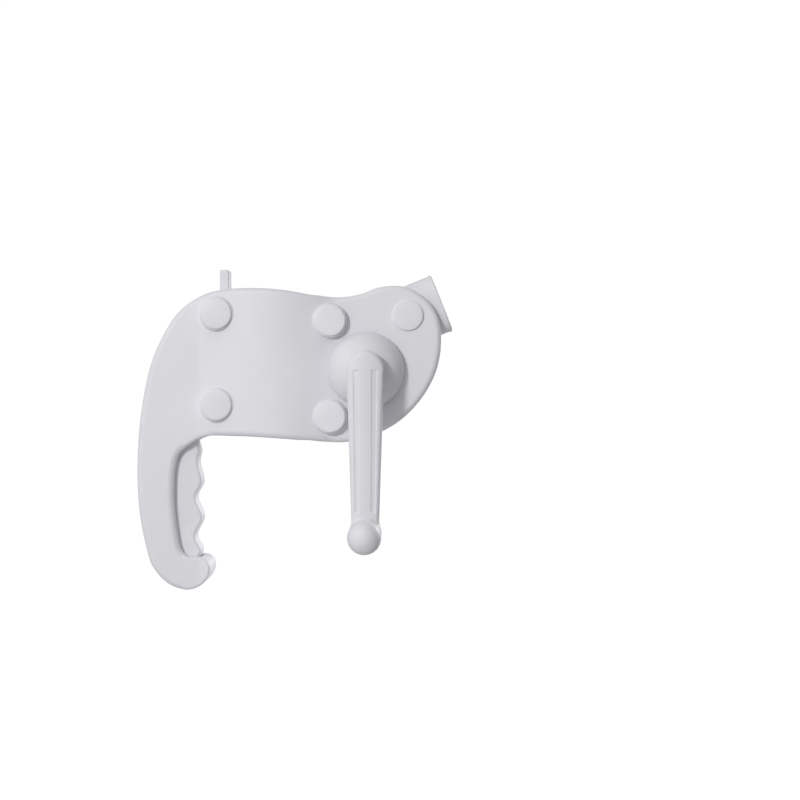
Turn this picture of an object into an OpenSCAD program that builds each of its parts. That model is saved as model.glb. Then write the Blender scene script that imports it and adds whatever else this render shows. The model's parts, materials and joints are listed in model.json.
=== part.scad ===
// Sliding crank bracket of a cantilever garden parasol.
// Frame: origin on the mast axis at mid-height of the sleeve, +Z up along the mast,
// +X towards the crank and the arm, -Y is the front (crank) side. Millimetres.
// The two housing halves part at y = 0.

/* [Mast] */
// Width of the mast section along X
mast_w = 68; // [67:0.5:68]
// Depth of the mast section along Y
mast_d = 46; // [45:0.5:46]
// Corner radius of the mast section
mast_r = 15; // [13:0.5:15]
// Gap between the mast and the moulded passage, each side
mast_gap = 1; // [1:0.1:1.2]

/* [Housing] */
// Wall thickness of the grip
grip_wall = 3; // [2.6:0.1:3]
// Half thickness of the grip, mid-plane to front face
grip_half = 19; // [18.5:0.1:19.5]
// Half thickness of the lobe that carries the crank and the arm
lobe_half = 21; // [20.9:0.1:21]
// Height of the rounded sleeve over the mast, mid-plane to crown
crown_half = 30; // [29.5:0.1:30.5]
// Radius of the rounded sleeve
crown_r = 77; // [75:1:80]
// Segments of outline between two control points
outline_steps = 2; // [1:1:3]

/* [Arm] */
// Angle of the arm above the horizontal at rest
arm_angle = 22; // [18:1:26]
// Height of the arm tube section
arm_h = 40; // [39:0.2:40.2]
// Thickness of the arm tube section along Y
arm_t = 26; // [25:0.2:26.2]
// Distance from the pivot to the mouth of the socket
arm_reach = 26.7; // [25:0.1:32]
// Wall of the socket
socket_wall = 1.7; // [1.5:0.1:1.7]

/* [Crank] */
// Distance from the shaft to the knob
crank_throw = 115; // [105:1:125]
// Radius of the hub dome at its foot
hub_r = 27.3; // [25:0.1:27.3]
// Half width of the crank arm at the hub
crank_w0 = 13.3; // [12:0.1:14]
// Half width of the crank arm near the knob
crank_w1 = 9.8; // [9.5:0.1:11]
// Radius of the knob ball
knob_r = 11.6; // [11:0.1:12.5]

/* [Fasteners] */
// Radius of the caps over the bolts
cap_r = 11.1; // [10.5:0.1:11.5]
// Radius of the bosses under the four mast caps
boss_r = 12.9; // [12.6:0.1:13]
// Radius of the housing bolts
bolt_r = 3; // [2.5:0.5:3]

/* [Hidden] */
$fn = 48;

// colours
white = [0.86, 0.86, 0.88];
black = [0.08, 0.08, 0.09];
natural = [0.80, 0.78, 0.70];
steel = [0.66, 0.67, 0.69];
spring_grey = [0.40, 0.41, 0.43];
cord_grey = [0.78, 0.77, 0.74];

// ---------- key places, as [x, z] ----------
bolts = [[-42, 35.3], [39.4, 30.3], [-42, -30], [39.5, -38.7]];
pivot = [95.2, 34.3];
shaft = [65.3, -5];
knob = [shaft[0], shaft[1] - crank_throw];
hinge = [-74, -144];  // squeeze lever hinge
screws = [[-66, 30], [-91.5, -60], [-88, -125], [-57.5, -153.5], [86, -31], [58, 38]];
lock_z = 0;           // height of the lock bolt
sleeve_x0 = -52;      // solid block round the mast, from here
sleeve_x1 = 43;       // to here

// ---------- shared sizes ----------
over = 1;             // cuts in the front half run this far past the mid-plane
fit = 0.1;            // gap round the guide block and the pads
lever_half = 10.5;    // half thickness of the lever
boss_top = 27;        // mid-plane to the top of the mast cap bosses
recess_r = 7.9;       // recess under a cap
bolt_seat = 20;       // floor of the mast bolt recesses
pivot_seat = 18.2;    // floor of the pivot recesses
hinge_r = 2.5;
screw_r = 1.6;        // shell and arm screws
lock_r = 4;
pivot_r = 4;
shaft_r = 5;
bush_r = 7.9;         // shaft bush
cross_pin_r = 1.48;
cross_hole_r = 1.5;
drive_pin_y = -34;
spool_pin_y = 8.6;

// guide block, its tongue and the pads, as [x, y, z]
guide_at = [-48.9, -12, -40];
guide_size = [14.3, 24, 86];
tongue_at = [-41.4, -9.1, 45.5];
tongue_size = [6.8, 18.2, 22.5];
pad_size = [24, 2, 26];
pad_zs = [-47, 21];
pad_outer = 25.4;     // mid-plane to the outer face of a front or rear pad
side_pad_at = [34.5, -8, -28];
side_pad_size = [2, 16, 48];

// ---------- outlines, control points as [x, z] ----------
top_edge = [[-48, 51], [-32, 53.4], [-13, 53.6], [2, 52.7], [20, 50.2], [34, 48.3], [44, 47.5],
  [54, 48.2], [64, 50.7], [73, 54.4]];
lobe_edge = [[83, 56], [93, 55.3], [101.5, 51.7], [110, 45], [115.5, 37.6], [118.7, 28.7],
  [119.6, 18], [118.6, 6], [115.5, -6.5], [109.5, -18.8], [101.3, -30.2], [90, -41.2], [77, -49.2]];
lower_edge = [[64, -54], [51, -56.8], [43, -57.1], [20, -55.5], [-13, -53.1], [-43, -52.2],
  [-50, -52.7]];
grip_edge = [[-56, -54.6], [-62, -58.2], [-67.5, -62.5], [-71, -67.5], [-73, -76], [-73.7, -88],
  [-73.6, -102], [-72.4, -115], [-70.2, -129], [-68.4, -134.6], [-65.6, -138.5], [-61.5, -139.9]];
hook_edge = [[-54.5, -140], [-50.3, -141.5], [-47.7, -144.7], [-47, -149], [-48.8, -154.6],
  [-53, -159.5], [-58, -162.3], [-64, -163.5], [-70, -162.6], [-76, -160.3]];
back_edge = [[-82, -155.7], [-87.5, -149.2], [-91, -142.6], [-94.7, -128.5], [-97.5, -114.5],
  [-99.3, -99], [-100.1, -80], [-99.7, -62], [-98.2, -42], [-95.5, -23.5], [-91.3, -4], [-87, 8.5],
  [-81.5, 20], [-74.5, 32], [-66, 41], [-57, 47]];
finger_edge = [[-58.5, -44], [-57.7, -56], [-55.9, -63.4], [-57.1, -72], [-54.2, -86],
  [-58.8, -97.2], [-53.8, -111.6], [-59, -124.8], [-54.9, -134.8], [-55.9, -139.6], [-59.5, -146],
  [-65, -151]];
lever_back = [[-74, -152.6], [-81, -149], [-82.5, -142], [-81, -130], [-80.5, -115], [-80.5, -95],
  [-79.5, -75], [-76.5, -55], [-73, -35], [-70, -18]];
housing_points = concat(top_edge, lobe_edge, lower_edge, grip_edge, hook_edge, back_edge);
lever_points = concat(finger_edge, lever_back);
// plain polygons
lever_slot = [[-88, -50], [-54.5, -50], [-49, -57], [-49, -137], [-53.5, -139], [-53.5, -146],
  [-88, -146]];
lever_fork = [[-72.4, -32], [-58.5, -50], [-57.6, -36], [-57.4, 6], [-58.9, 8], [-64.4, 8],
  [-65.9, 6], [-65.9, -9]];

// smooth closed curve (Catmull-Rom) through its control points
function span(a, b, c, d, t) =
  0.5 * (2 * b + (c - a) * t + (2 * a - 5 * b + 4 * c - d) * t * t
    + (3 * b - a - 3 * c + d) * t * t * t);
function smooth_loop(points, steps) = let (m = len(points))
  [for (i = [0:m - 1], k = [0:steps - 1])
    span(points[(i + m - 1) % m], points[i], points[(i + 1) % m], points[(i + 2) % m], k / steps)];

function rounded_rect(width, height, r, steps = 8) =
  [for (q = [0:3], k = [0:steps])
    let (a = 90 * q + 90 * k / steps, sx = (q == 0 || q == 3) ? 1 : -1, sy = q < 2 ? 1 : -1)
    [sx * (width / 2 - r) + r * cos(a), sy * (height / 2 - r) + r * sin(a)]];

// superellipse
function signed_power(v, p) = (v < 0 ? -1 : 1) * pow(abs(v), p);
function oval(half_w, half_h, power = 2.6, steps = 56) =
  [for (k = [0:steps - 1]) let (a = 360 * (k + 0.5) / steps)
    [half_w * signed_power(cos(a), 2 / power), half_h * signed_power(sin(a), 2 / power)]];

// outer half thickness of the housing at x: rounded sleeve blended into the flats
function crown(x) = crown_half - crown_r + sqrt(crown_r * crown_r - x * x);
function flat(x) = x < 0 ? grip_half : lobe_half;
function blend_max(a, b, reach) =
  max(a, b) + (abs(a - b) < reach ? pow(reach - abs(a - b), 2) / (4 * reach) : 0);
function half_thickness(x) = blend_max(crown(x), flat(x), 4);

// ---------- building helpers; places are [x, z] ----------
module at(place, y = 0) translate([place[0], y, place[1]]) children();
// extrude an X-Z drawing from y0 to y1
module xz(y0, y1) translate([0, y1, 0]) rotate([90, 0, 0]) linear_extrude(y1 - y0) children();
// cylinder along Y
module ycyl(place, r, y0, y1) at(place, y1) rotate([90, 0, 0]) cylinder(r = r, h = y1 - y0);
module yring(place, outer_r, inner_r, y0, y1) difference() {
  ycyl(place, outer_r, y0, y1);
  ycyl(place, inner_r, y0 - 1, y1 + 1);
}
// body of revolution about a Y axis; the profile is [radius, distance towards -Y]
module yturn(place, profile) at(place) rotate([90, 0, 0]) rotate_extrude() polygon(profile);
// cylinder along +X from a start point [x, y, z]
module xcyl(start, r, length) translate(start) rotate([0, 90, 0]) cylinder(r = r, h = length);
// bar along X across the shaft axis
module cross_bar(y, r, reach) xcyl([shaft[0] - reach, y, shaft[1]], r, 2 * reach);
// the children on the front and mirrored to the rear
module both_sides() for (side = [0, 1]) mirror([0, side, 0]) children();
// cutter that leaves a hexagon of the given inner radius
module hex_flats(place, inner_r, y0, y1) for (k = [0:5])
  at(place) rotate([0, 60 * k, 0]) translate([inner_r, y0, -10]) cube([10, y1 - y0, 20]);
// hexagonal socket of three crossing bars
module hex_socket(place, y) at(place, y) for (k = [0:2])
  rotate([0, 60 * k, 0]) translate([-2.5, 0, -1.44]) cube([5, 2.4, 2.88]);

// ---------- housing ----------
module housing_2d() polygon(smooth_loop(housing_points, outline_steps));
module inside_2d() offset(delta = -grip_wall) housing_2d();

// prism whose front face follows the rounded sleeve
module sleeve_prism() translate([0, 0, -175]) linear_extrude(240)
  polygon(concat([[-110, 0], [-110, -grip_half], [-52, -grip_half]],
    [for (x = [-50:2.5:50]) [x, -half_thickness(x)]],
    [[52, -lobe_half], [130, -lobe_half], [130, 0]]));

module passage() translate([0, 0, -90]) linear_extrude(180)
  polygon(rounded_rect(mast_w + 2 * mast_gap, mast_d + 2 * mast_gap, mast_r));

// room for the swing of the arm socket
module swing_2d() translate(pivot) {
  circle(r = 22.9);
  polygon([[0, -22.6], [60, -22.6], [60, 70], [-12.6, 72.4], [-22.38, 3.15]]);
}

// hollow of the grip and of the lobe, less the bosses that stand in it
module hollow() difference() {
  union() {
    xz(-grip_half + grip_wall, over) intersection() {
      inside_2d();
      translate([-120, -170]) square([120 + sleeve_x0, 240]);
    }
    xz(-lobe_half + 3.5, over) intersection() {
      inside_2d();
      translate([sleeve_x1, -100]) square([100, 200]);
    }
  }
  for (s = screws) ycyl(s, 4.2, -30, 2);
  ycyl(hinge, 6, -30, -lever_half - 0.2);
  ycyl(pivot, 12.5, -30, -15.65);
  // block behind the lock spring
  translate([-100, -30, lock_z - 8]) cube([15.5, 32, 16]);
}

module swing_room() {
  xz(-15.62, over) swing_2d();
  // deeper round the pivot boss
  xz(-17.5, over) difference() {
    swing_2d();
    translate(pivot) circle(r = 12.5);
  }
}

module guide_room() {
  // chamber of the guide block and the way out for its tongue
  translate(guide_at - [fit, fit, fit]) cube([19, 13, guide_size[2] + 2 * fit]);
  translate([tongue_at[0] - fit, tongue_at[1] - fit, 45]) cube([11.5, 10.2, 20]);
  // lock bolt passes into the grip
  xcyl([-56, 0, lock_z], 4.5, 12);
}

module pad_pockets() {
  for (z = pad_zs) translate([-pad_size[0] / 2 - fit, -pad_outer - fit, z - fit])
    cube([pad_size[0] + 2 * fit, 6, pad_size[2] + 2 * fit]);
  translate([30, side_pad_at[1] - fit, side_pad_at[2] - fit])
    cube([6.6, 9.1, side_pad_size[2] + 2 * fit]);
}

// the front half; the rear half is its mirror image with other holes
module half() difference() {
  union() {
    intersection() {
      sleeve_prism();
      xz(-50, 0) housing_2d();
    }
    for (b = bolts) ycyl(b, boss_r, -boss_top, -14);
  }
  hollow();
  passage();
  swing_room();
  // where the lever leaves the grip
  xz(-lever_half - 1.1, over) polygon(lever_slot);
  guide_room();
  pad_pockets();
  // mast bolts with their cap recesses
  for (b = bolts) {
    ycyl(b, bolt_r + 0.2, -40, over);
    ycyl(b, recess_r, -40, -bolt_seat);
  }
  // arm pivot with its cap recess
  ycyl(pivot, pivot_r + 0.2, -40, over);
  ycyl(pivot, recess_r, -40, -pivot_seat);
  // lever hinge, blind
  ycyl(hinge, hinge_r + 0.05, -15.6, over);
  // shaft bush
  ycyl(shaft, bush_r + 0.05, -40, over);
}

module front_shell() color(white) difference() {
  half();
  for (s = screws) ycyl(s, screw_r + 0.05, -13, over);
}

module rear_shell() color(white) difference() {
  mirror([0, 1, 0]) half();
  for (s = screws) {
    ycyl(s, screw_r + 0.3, -1, 30);
    ycyl(s, 3.7, 14, 30);
  }
  // seat of the rear hub cap
  yring(shaft, 13.05, 11.45, 19.5, 30);
}

// ---------- caps ----------
cap_edge_r = 1.1;
cap_edge_h = 1.6;     // seat to the top of the rounded edge
plug_r = 6.7;         // plug ring, inner radius
plug_outer_r = 7.75;

// soft-edged round cap: plug ring in the recess, low dome on top
module cap(place, seat) yturn(place, concat(
  [[0, seat + 1.1], [plug_r, seat + 1.1], [plug_r, seat - 1.9], [plug_outer_r, seat - 1.9],
    [plug_outer_r, seat + 0.02], [cap_r, seat + 0.02]],
  [for (k = [0:8]) let (a = 90 * k / 8)
    [cap_r - cap_edge_r + cap_edge_r * cos(a), seat + cap_edge_h - cap_edge_r + cap_edge_r * sin(a)]],
  [for (k = [1:6]) let (u = 1 - k / 6)
    [(cap_r - cap_edge_r) * u, seat + cap_edge_h + 0.9 * (1 - u * u)]]));

module caps() {
  for (b = bolts) cap(b, boss_top);
  cap(pivot, lobe_half);
}
module front_caps() color(white) caps();
module rear_caps() color(white) mirror([0, 1, 0]) caps();

// ---------- grip ----------
module squeeze_lever() color(white) difference() {
  union() {
    xz(-lever_half, lever_half) polygon(smooth_loop(lever_points, 2));
    // fork that straddles the lock bolt
    xz(-lever_half, lever_half) polygon(lever_fork);
  }
  translate([-80, -4.7, -5.2]) cube([30, 9.4, 30]);
  ycyl(hinge, hinge_r + 0.06, -20, 20);
}

module lever_pin() color(steel) ycyl(hinge, hinge_r, -15.4, 15.4);

// ---------- lock ----------
lock_tail_r = 2.6;    // thin end of the lock bolt
clip_t = 2.8;

module guide_block() color(white) difference() {
  union() {
    translate(guide_at) cube(guide_size);
    translate(tongue_at) cube(tongue_size);
  }
  // the two bolts on the -X side
  for (i = [0, 2]) ycyl(bolts[i], bolt_r + 0.2, -20, 20);
  xcyl([-60, 0, lock_z], lock_r + 0.05, 40);
}

// profile is [radius, distance towards +X]
module lock_bolt() color(steel) translate([-69.2, 0, lock_z]) rotate([0, 90, 0]) rotate_extrude()
  polygon([[0, -5], [lock_tail_r, -5], [lock_tail_r, clip_t], [lock_r, clip_t], [lock_r, 34.7],
    [3.8, 34.7], [3.8, 40.2], [2.9, 41.2], [0, 41.2]]);

module bolt_clip() color(black) translate([-69.3, 0, lock_z]) rotate([0, 90, 0]) difference() {
  cylinder(r = 6.4, h = clip_t);
  translate([0, 0, -1]) cylinder(r = lock_tail_r + 0.02, h = 6);
}

// wire along a centre line, with a polygon section of the given number of sides
function unit(v) = v / norm(v);
function wire_section(centre, along, r, sides, turn) =
  let (u = unit(cross(along, abs(along[0]) > 0.9 ? [0, 1, 0] : [1, 0, 0])), v = cross(along, u))
  [for (k = [0:sides - 1]) let (a = turn + 360 * k / sides) centre + r * (cos(a) * u + sin(a) * v)];
module wire_body(path, r, sides, turn = 0) {
  m = len(path);
  points = [for (i = [0:m - 1])
    let (along = unit(path[min(i + 1, m - 1)] - path[max(i - 1, 0)]))
    each wire_section(path[i], along, r, sides, turn)];
  skin = [for (i = [0:m - 2], k = [0:sides - 1])
    let (a = i * sides + k, b = i * sides + (k + 1) % sides)
    each [[a, a + sides, b + sides], [a, b + sides, b]]];
  start_face = [for (k = [0:sides - 1]) k];
  end_face = [for (k = [sides - 1:-1:0]) (m - 1) * sides + k];
  polyhedron(points = points, faces = concat([start_face], skin, [end_face]), convexity = 6);
}

// compression spring along X, with closed end turns
spring_x0 = -84.4;
spring_x1 = -69.9;
spring_wire = 0.45;                       // wire radius
spring_inset = spring_wire + 0.02;
spring_coil_r = 4.3;
end_part = 0.18;                          // share of the wire in each end
end_rise = 0.08;                          // share of the length each end takes up
// share of the length reached at share u of the wire
function spring_rise(u) =
  u < end_part ? end_rise * u / end_part
  : u > 1 - end_part ? 1 - end_rise * (1 - u) / end_part
  : end_rise + (1 - 2 * end_rise) * (u - end_part) / (1 - 2 * end_part);
module lock_spring() color(spring_grey)
  wire_body([for (k = [0:96]) let (u = k / 96, a = 360 * 6 * u)
    [spring_x0 + spring_inset + (spring_x1 - spring_x0 - 2 * spring_inset) * spring_rise(u),
     spring_coil_r * cos(a), lock_z + spring_coil_r * sin(a)]], spring_wire, 6);

// ---------- sliding pads ----------
module glide_pads() color(black) for (side = [-1, 1], z = pad_zs)
  translate([-pad_size[0] / 2, side > 0 ? pad_outer - pad_size[1] : -pad_outer, z]) cube(pad_size);
module side_glide_pad() color(black) translate(side_pad_at) cube(side_pad_size);

// ---------- fasteners ----------
hex_r = 5.77;         // corner radius of the bolt heads and nuts
hex_inner_r = 5;
washer_y0 = bolt_seat + 0.02;
washer_y1 = 21.2;

module housing_bolts() color(steel) for (b = bolts) {
  difference() {
    ycyl(b, hex_r, -25.2, -21.25);
    hex_flats(b, hex_inner_r, -30, -10);
  }
  ycyl(b, bolt_r, -21.3, 26.2);
}
module bolt_washers() color(steel) for (b = bolts) {
  yring(b, 7.2, bolt_r + 0.15, -washer_y1, -washer_y0);
  yring(b, 7.2, bolt_r + 0.15, washer_y0, washer_y1);
}
module housing_nuts() color(steel) for (b = bolts) difference() {
  ycyl(b, hex_r, washer_y1 + 0.02, 25.4);
  hex_flats(b, hex_inner_r, 15, 35);
  ycyl(b, bolt_r + 0.02, 10, 40);
}
module shell_screws() color(steel) for (s = screws) {
  ycyl(s, screw_r, -12, 14.5);
  // head with a cross recess
  difference() {
    ycyl(s, 3.4, 14.05, 16.4);
    at(s, 15.4) translate([-0.5, 0, -2.4]) cube([1, 2, 4.8]);
    at(s, 15.4) translate([-2.4, 0, -0.5]) cube([4.8, 2, 1]);
  }
}

// ---------- arm ----------
socket_seat_h = arm_h / 2 + 0.2;          // half sizes of the tube seat
socket_seat_t = arm_t / 2 + 0.15;
socket_h = socket_seat_h + socket_wall;   // half sizes outside
socket_t = socket_seat_t + socket_wall;
seat_x = -9;                              // inner end of the tube seat
pivot_bush_r = 6;
pivot_head_r = 6.4;

// arm frame: origin at the pivot, X along the arm
module arm_frame() at(pivot) rotate([0, -arm_angle, 0]) children();

// side view: half round behind the pivot, square at the mouth
socket_side = concat(
  [for (k = [0:28]) let (a = 90 + 180 * k / 28) [socket_h * cos(a), socket_h * sin(a)]],
  [[arm_reach, -socket_h], [arm_reach, socket_h]]);

module socket_prism(half_t, half_h, x0) translate([x0, 0, 0]) rotate([90, 0, 90])
  linear_extrude(60 - x0) polygon(oval(half_t, half_h));

module arm_socket() color(white) difference() {
  arm_frame() difference() {
    intersection() {
      rotate([90, 0, 0]) translate([0, 0, -30]) linear_extrude(60) polygon(socket_side);
      socket_prism(socket_t, socket_h, -30);
    }
    // seat of the arm tube
    intersection() {
      socket_prism(socket_seat_t, socket_seat_h, seat_x);
      translate([seat_x, -30, -30]) cube([100, 60, 60]);
    }
    // way in for the cord
    translate([-26, -4.3, -17]) cube([22, 8.6, 31]);
    // hole of the screw that fixes the tube
    translate([19, 0, -30]) cylinder(r = 2.2, h = 30);
  }
  ycyl(pivot, pivot_bush_r + 0.05, -30, 30);
}

module pivot_bushes() color(black) both_sides() difference() {
  union() {
    ycyl(pivot, pivot_bush_r, -14.9, -11);
    // flange outside the socket
    ycyl(pivot, 11, -15.55, socket_t < 14.9 ? -14.87 : -socket_t - 0.02);
  }
  ycyl(pivot, pivot_r + 0.05, -20, 0);
}
module arm_pivot_bolt() color(steel) {
  ycyl(pivot, pivot_r, -18.3, 17.9);
  difference() {
    ycyl(pivot, pivot_head_r, -21.3, -pivot_seat - 0.02);
    hex_socket(pivot, -22);
  }
}
module arm_pivot_nut() color(steel) difference() {
  ycyl(pivot, pivot_head_r, pivot_seat + 0.02, 21.3);
  ycyl(pivot, pivot_r + 0.02, 0, 19.2);
  hex_socket(pivot, 19.6);
}

pulley_half = 4;
pulley_r = 11;
groove_r = 7.2;
module pulley_spacers() color(natural) both_sides()
  yring(pivot, 5.6, pivot_r + 0.06, -10.9, -pulley_half - 0.1);
module rope_pulley() color(natural) yturn(pivot, [[pivot_r + 0.05, -pulley_half],
  [pulley_r, -pulley_half], [pulley_r, -3.2], [groove_r, -1.3], [groove_r, 1.3], [pulley_r, 3.2],
  [pulley_r, pulley_half], [pivot_r + 0.05, pulley_half]]);

// ---------- crank shaft, drum and cord ----------
flange_r = 20;
drum_r = 7.2;
coil_in = 7.3;
coil_out = 13.2;
crest_r = 1.3;        // rounding of the turns of the coil
coil_pitch = 2.73;
cord_r = 1.25;

module crank_shaft() color(steel) difference() {
  ycyl(shaft, shaft_r, -52, 24);
  // groove of the retaining clip
  yring(shaft, 6, 4.3, 21.9, 23.1);
  for (y = [drive_pin_y, spool_pin_y]) cross_bar(y, cross_hole_r, 10);
}
module shaft_bushes() color(black) both_sides() difference() {
  union() {
    ycyl(shaft, bush_r, -21, -16);
    ycyl(shaft, 10.5, -17.45, -16);
  }
  ycyl(shaft, shaft_r + 0.05, -30, 0);
}
module spool() color(natural) difference() {
  union() {
    ycyl(shaft, flange_r, -12.5, -10.2);
    ycyl(shaft, drum_r, -15.5, 15.3);
    ycyl(shaft, flange_r, 3.8, 6.1);
  }
  ycyl(shaft, shaft_r + 0.02, -20, 20);
  cross_bar(spool_pin_y, cross_hole_r, 30);
}
module spool_pin() color(steel) cross_bar(spool_pin_y, cross_pin_r, 7);

// the wound cord: five turns side by side, their crests rounded
module rope_coil() color(cord_grey) yturn(shaft, concat([[coil_in, -3.7], [coil_in, 10.1]],
  [for (i = [0:4], k = [0:6]) let (a = 180 - 180 * k / 6)
    [coil_out - 1.36 + crest_r * sin(a), 8.76 - coil_pitch * i - crest_r * cos(a)]]));

// cord from the drum to the pulley, over it and into the arm
cord_drum = coil_out + cord_r + 0.1;      // radii of the cord's centre line
cord_pulley = groove_r + cord_r + 0.08;
centre_line = pivot - shaft;
tangent = atan2(centre_line[1], centre_line[0]) + 90
  + asin((cord_pulley - cord_drum) / norm(centre_line));
function about(place, r, a) = [place[0] + r * cos(a), 0, place[1] + r * sin(a)];
drum_point = about(shaft, cord_drum, tangent);
pulley_point = about(pivot, cord_pulley, tangent);
cord_path = concat(
  [for (k = [0:4]) drum_point + (pulley_point - drum_point) * (0.02 + 0.96 * k / 4)],
  [for (k = [0:4]) about(pivot, cord_pulley, tangent + (arm_angle + 90 - tangent) * k / 4)],
  [for (k = [1:3]) about(pivot, cord_pulley, arm_angle + 90)
    + [cos(arm_angle), 0, sin(arm_angle)] * 7.3 * k]);
module rope_run() color(cord_grey) wire_body(cord_path, cord_r, 12);

// wrap spring of square wire round the rear end of the drum; its tail steps outwards
module brake_spring() color(spring_grey)
  wire_body([for (k = [0:80])
    let (u = k / 80, a = 360 * 4 * u, r = 8.1 + (k > 76 ? 1.1 * (k - 76) : 0))
    [shaft[0] + r * cos(a), 10.9 + 3.2 * u, shaft[1] + r * sin(a)]], 0.52, 4, 45);

module retaining_clip() color(spring_grey) difference() {
  yring(shaft, 7.4, 4.35, 22, 23);
  at(shaft, 20) translate([-2, 0, -12]) cube([4, 5, 12]);
}
module rear_hub_cap() color(white) mirror([0, 1, 0]) yturn(shaft, concat(
  [[0, 25.6], [9.5, 25.6], [11.5, 24], [11.5, 19.6], [13, 19.6], [13, 24.6]],
  [for (k = [0:6]) let (a = 90 * k / 6) [10 + 3 * cos(a), 24.6 + 2.4 * sin(a)]],
  [[0, 27.6]]));

// ---------- crank ----------
y_arm0 = -44;                             // rear face of the crank arm
y_arm1 = -56;                             // front face of the crank arm
hub_foot = lobe_half + 1.2;
hub_h = 23.5;                             // height of the full dome
hub_top = -y_arm0 - hub_foot - 0.02;      // height at which it is cut off
hub_shell = 2.6;
hollow_top = hub_top - 4.5;
// arm screws above and below the shaft
arm_screw_places = [for (z = [-8.6, 8.6]) [shaft[0], shaft[1] + z]];

function dome(r, full_h, top, steps) = [for (k = [0:steps]) let (h = top * k / steps)
  [r * sqrt(1 - h * h / full_h / full_h), hub_foot + h]];

module crank_hub() color(white) difference() {
  yturn(shaft, concat([[0, hub_foot]], dome(hub_r, hub_h, hub_top, 24),
    [[0, hub_foot + hub_top]]));
  // hollow underside round the socket of the shaft and its four ribs
  difference() {
    yturn(shaft, concat([[0, hub_foot - 1], [hub_r - hub_shell, hub_foot - 1]],
      dome(hub_r - hub_shell, hub_h - hub_shell, hollow_top, 16), [[0, hub_foot + hollow_top]]));
    ycyl(shaft, 9.4, -60, -hub_foot);
    for (a = [45:90:315]) at(shaft) rotate([0, a, 0])
      translate([8, -60, -0.9]) cube([30, 60 - hub_foot - 1.5, 1.8]);
  }
  ycyl(shaft, shaft_r + 0.02, -60, 0);
  cross_bar(drive_pin_y, cross_hole_r, 20);
  for (s = arm_screw_places) {
    ycyl(s, screw_r + 0.1, -60, 0);
    ycyl(s, 2.8, -40.5, 0);
  }
}
module drive_pin() color(steel) cross_bar(drive_pin_y, cross_pin_r, 9);
module arm_screws() color(steel) for (s = arm_screw_places) {
  ycyl(s, screw_r, -51, -40.4);
  ycyl(s, 2.6, -40.45, -38.4);
}

spindle_r = 3;
y_pad = y_arm1 - 1.8;                     // front face of the pad under the knob
crank_low = knob[1] + 11;                 // lower end of the taper

module crank_2d() {
  translate(shaft) circle(r = crank_w0);
  polygon([[shaft[0] - crank_w0 + 0.1, shaft[1]], [shaft[0] + crank_w0 - 0.1, shaft[1]],
    [knob[0] + crank_w1, crank_low], [knob[0] + crank_w1 - 0.4, knob[1] - 6],
    [knob[0] - crank_w1 + 0.4, knob[1] - 6], [knob[0] - crank_w1, crank_low]]);
  translate(knob) circle(r = crank_w1 + 1.2);
}
module crank_arm() color(white) difference() {
  union() {
    xz(y_arm1 + 1.5, y_arm0) crank_2d();
    // narrower layer on the front face
    xz(y_arm1, y_arm1 + 1.6) offset(delta = -1.6) crank_2d();
    // pad under the knob
    ycyl(knob, 10.6, y_pad, y_arm0 - 1);
  }
  ycyl(shaft, shaft_r + 0.02, -52.1, 0);
  for (s = arm_screw_places) ycyl(s, screw_r + 0.02, -51.2, 0);
  // two flutes in the front
  for (side = [-1, 1]) xz(y_arm1 - 1, y_arm1 + 1.1) polygon([
    [shaft[0] + side * 4.6, shaft[1] - 1], [shaft[0] + side * 8.2, shaft[1] - 1],
    [knob[0] + side * 7, crank_low + 3.5], [knob[0] + side * 4, crank_low + 3.5]]);
  // knob spindle and its nut
  ycyl(knob, spindle_r + 0.02, -70, 0);
  ycyl(knob, 5.9, -48.2, 0);
}

// knob profile, as distances in front of the pad
neck_h = 4.4;
ball_h = 30.2;
module crank_knob() color(white) difference() {
  yturn(knob, [for (p = concat(
    // foot
    [[0, 1], [9.6, 1], [10.2, 1.8], [10.2, 3.2], [9.2, neck_h]],
    // waisted neck
    [for (k = [0:8]) let (u = k / 8)
      [7.1 + 2.1 * pow(1 - u, 2) + 1.15 * u * u, neck_h + (ball_h - neck_h - 8.2) * u]],
    // ball
    [for (k = [0:18]) let (a = -45 + 135 * k / 18)
      [max(0, knob_r * cos(a)), ball_h + knob_r * sin(a)]])) [p[0], p[1] - y_pad]]);
  ycyl(knob, spindle_r + 0.06, y_pad - 33, 0);
  // room for the clip
  yring(knob, 4.3, 2, y_pad - 27.2, y_pad - 26);
}
module knob_spindle() color(steel) difference() {
  union() {
    ycyl(knob, spindle_r, y_pad - 32.4, -44.6);
    ycyl(knob, 5.4, y_pad - 0.9, y_pad - 0.02);
  }
  yring(knob, 4, 2.5, y_pad - 27.1, y_pad - 26.1);
}
module knob_nut() color(steel) difference() {
  ycyl(knob, 5.7, -48.1, -45);
  hex_flats(knob, 4.9, -60, -30);
  ycyl(knob, spindle_r + 0.02, -60, 0);
}
module knob_clip() color(spring_grey) difference() {
  yring(knob, 4.1, 2.55, y_pad - 27.05, y_pad - 26.15);
  at(knob, y_pad - 30) translate([-1, 0, 0]) cube([2, 8, 6]);
}

front_shell();
rear_shell();
front_caps();
rear_caps();
squeeze_lever();
lever_pin();
guide_block();
glide_pads();
side_glide_pad();
lock_bolt();
bolt_clip();
lock_spring();
housing_bolts();
bolt_washers();
housing_nuts();
shell_screws();
arm_socket();
arm_pivot_bolt();
arm_pivot_nut();
pivot_bushes();
pulley_spacers();
rope_pulley();
crank_shaft();
shaft_bushes();
spool();
spool_pin();
rope_coil();
rope_run();
brake_spring();
crank_hub();
drive_pin();
crank_arm();
arm_screws();
crank_knob();
knob_spindle();
knob_nut();
knob_clip();
retaining_clip();
rear_hub_cap();
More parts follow.
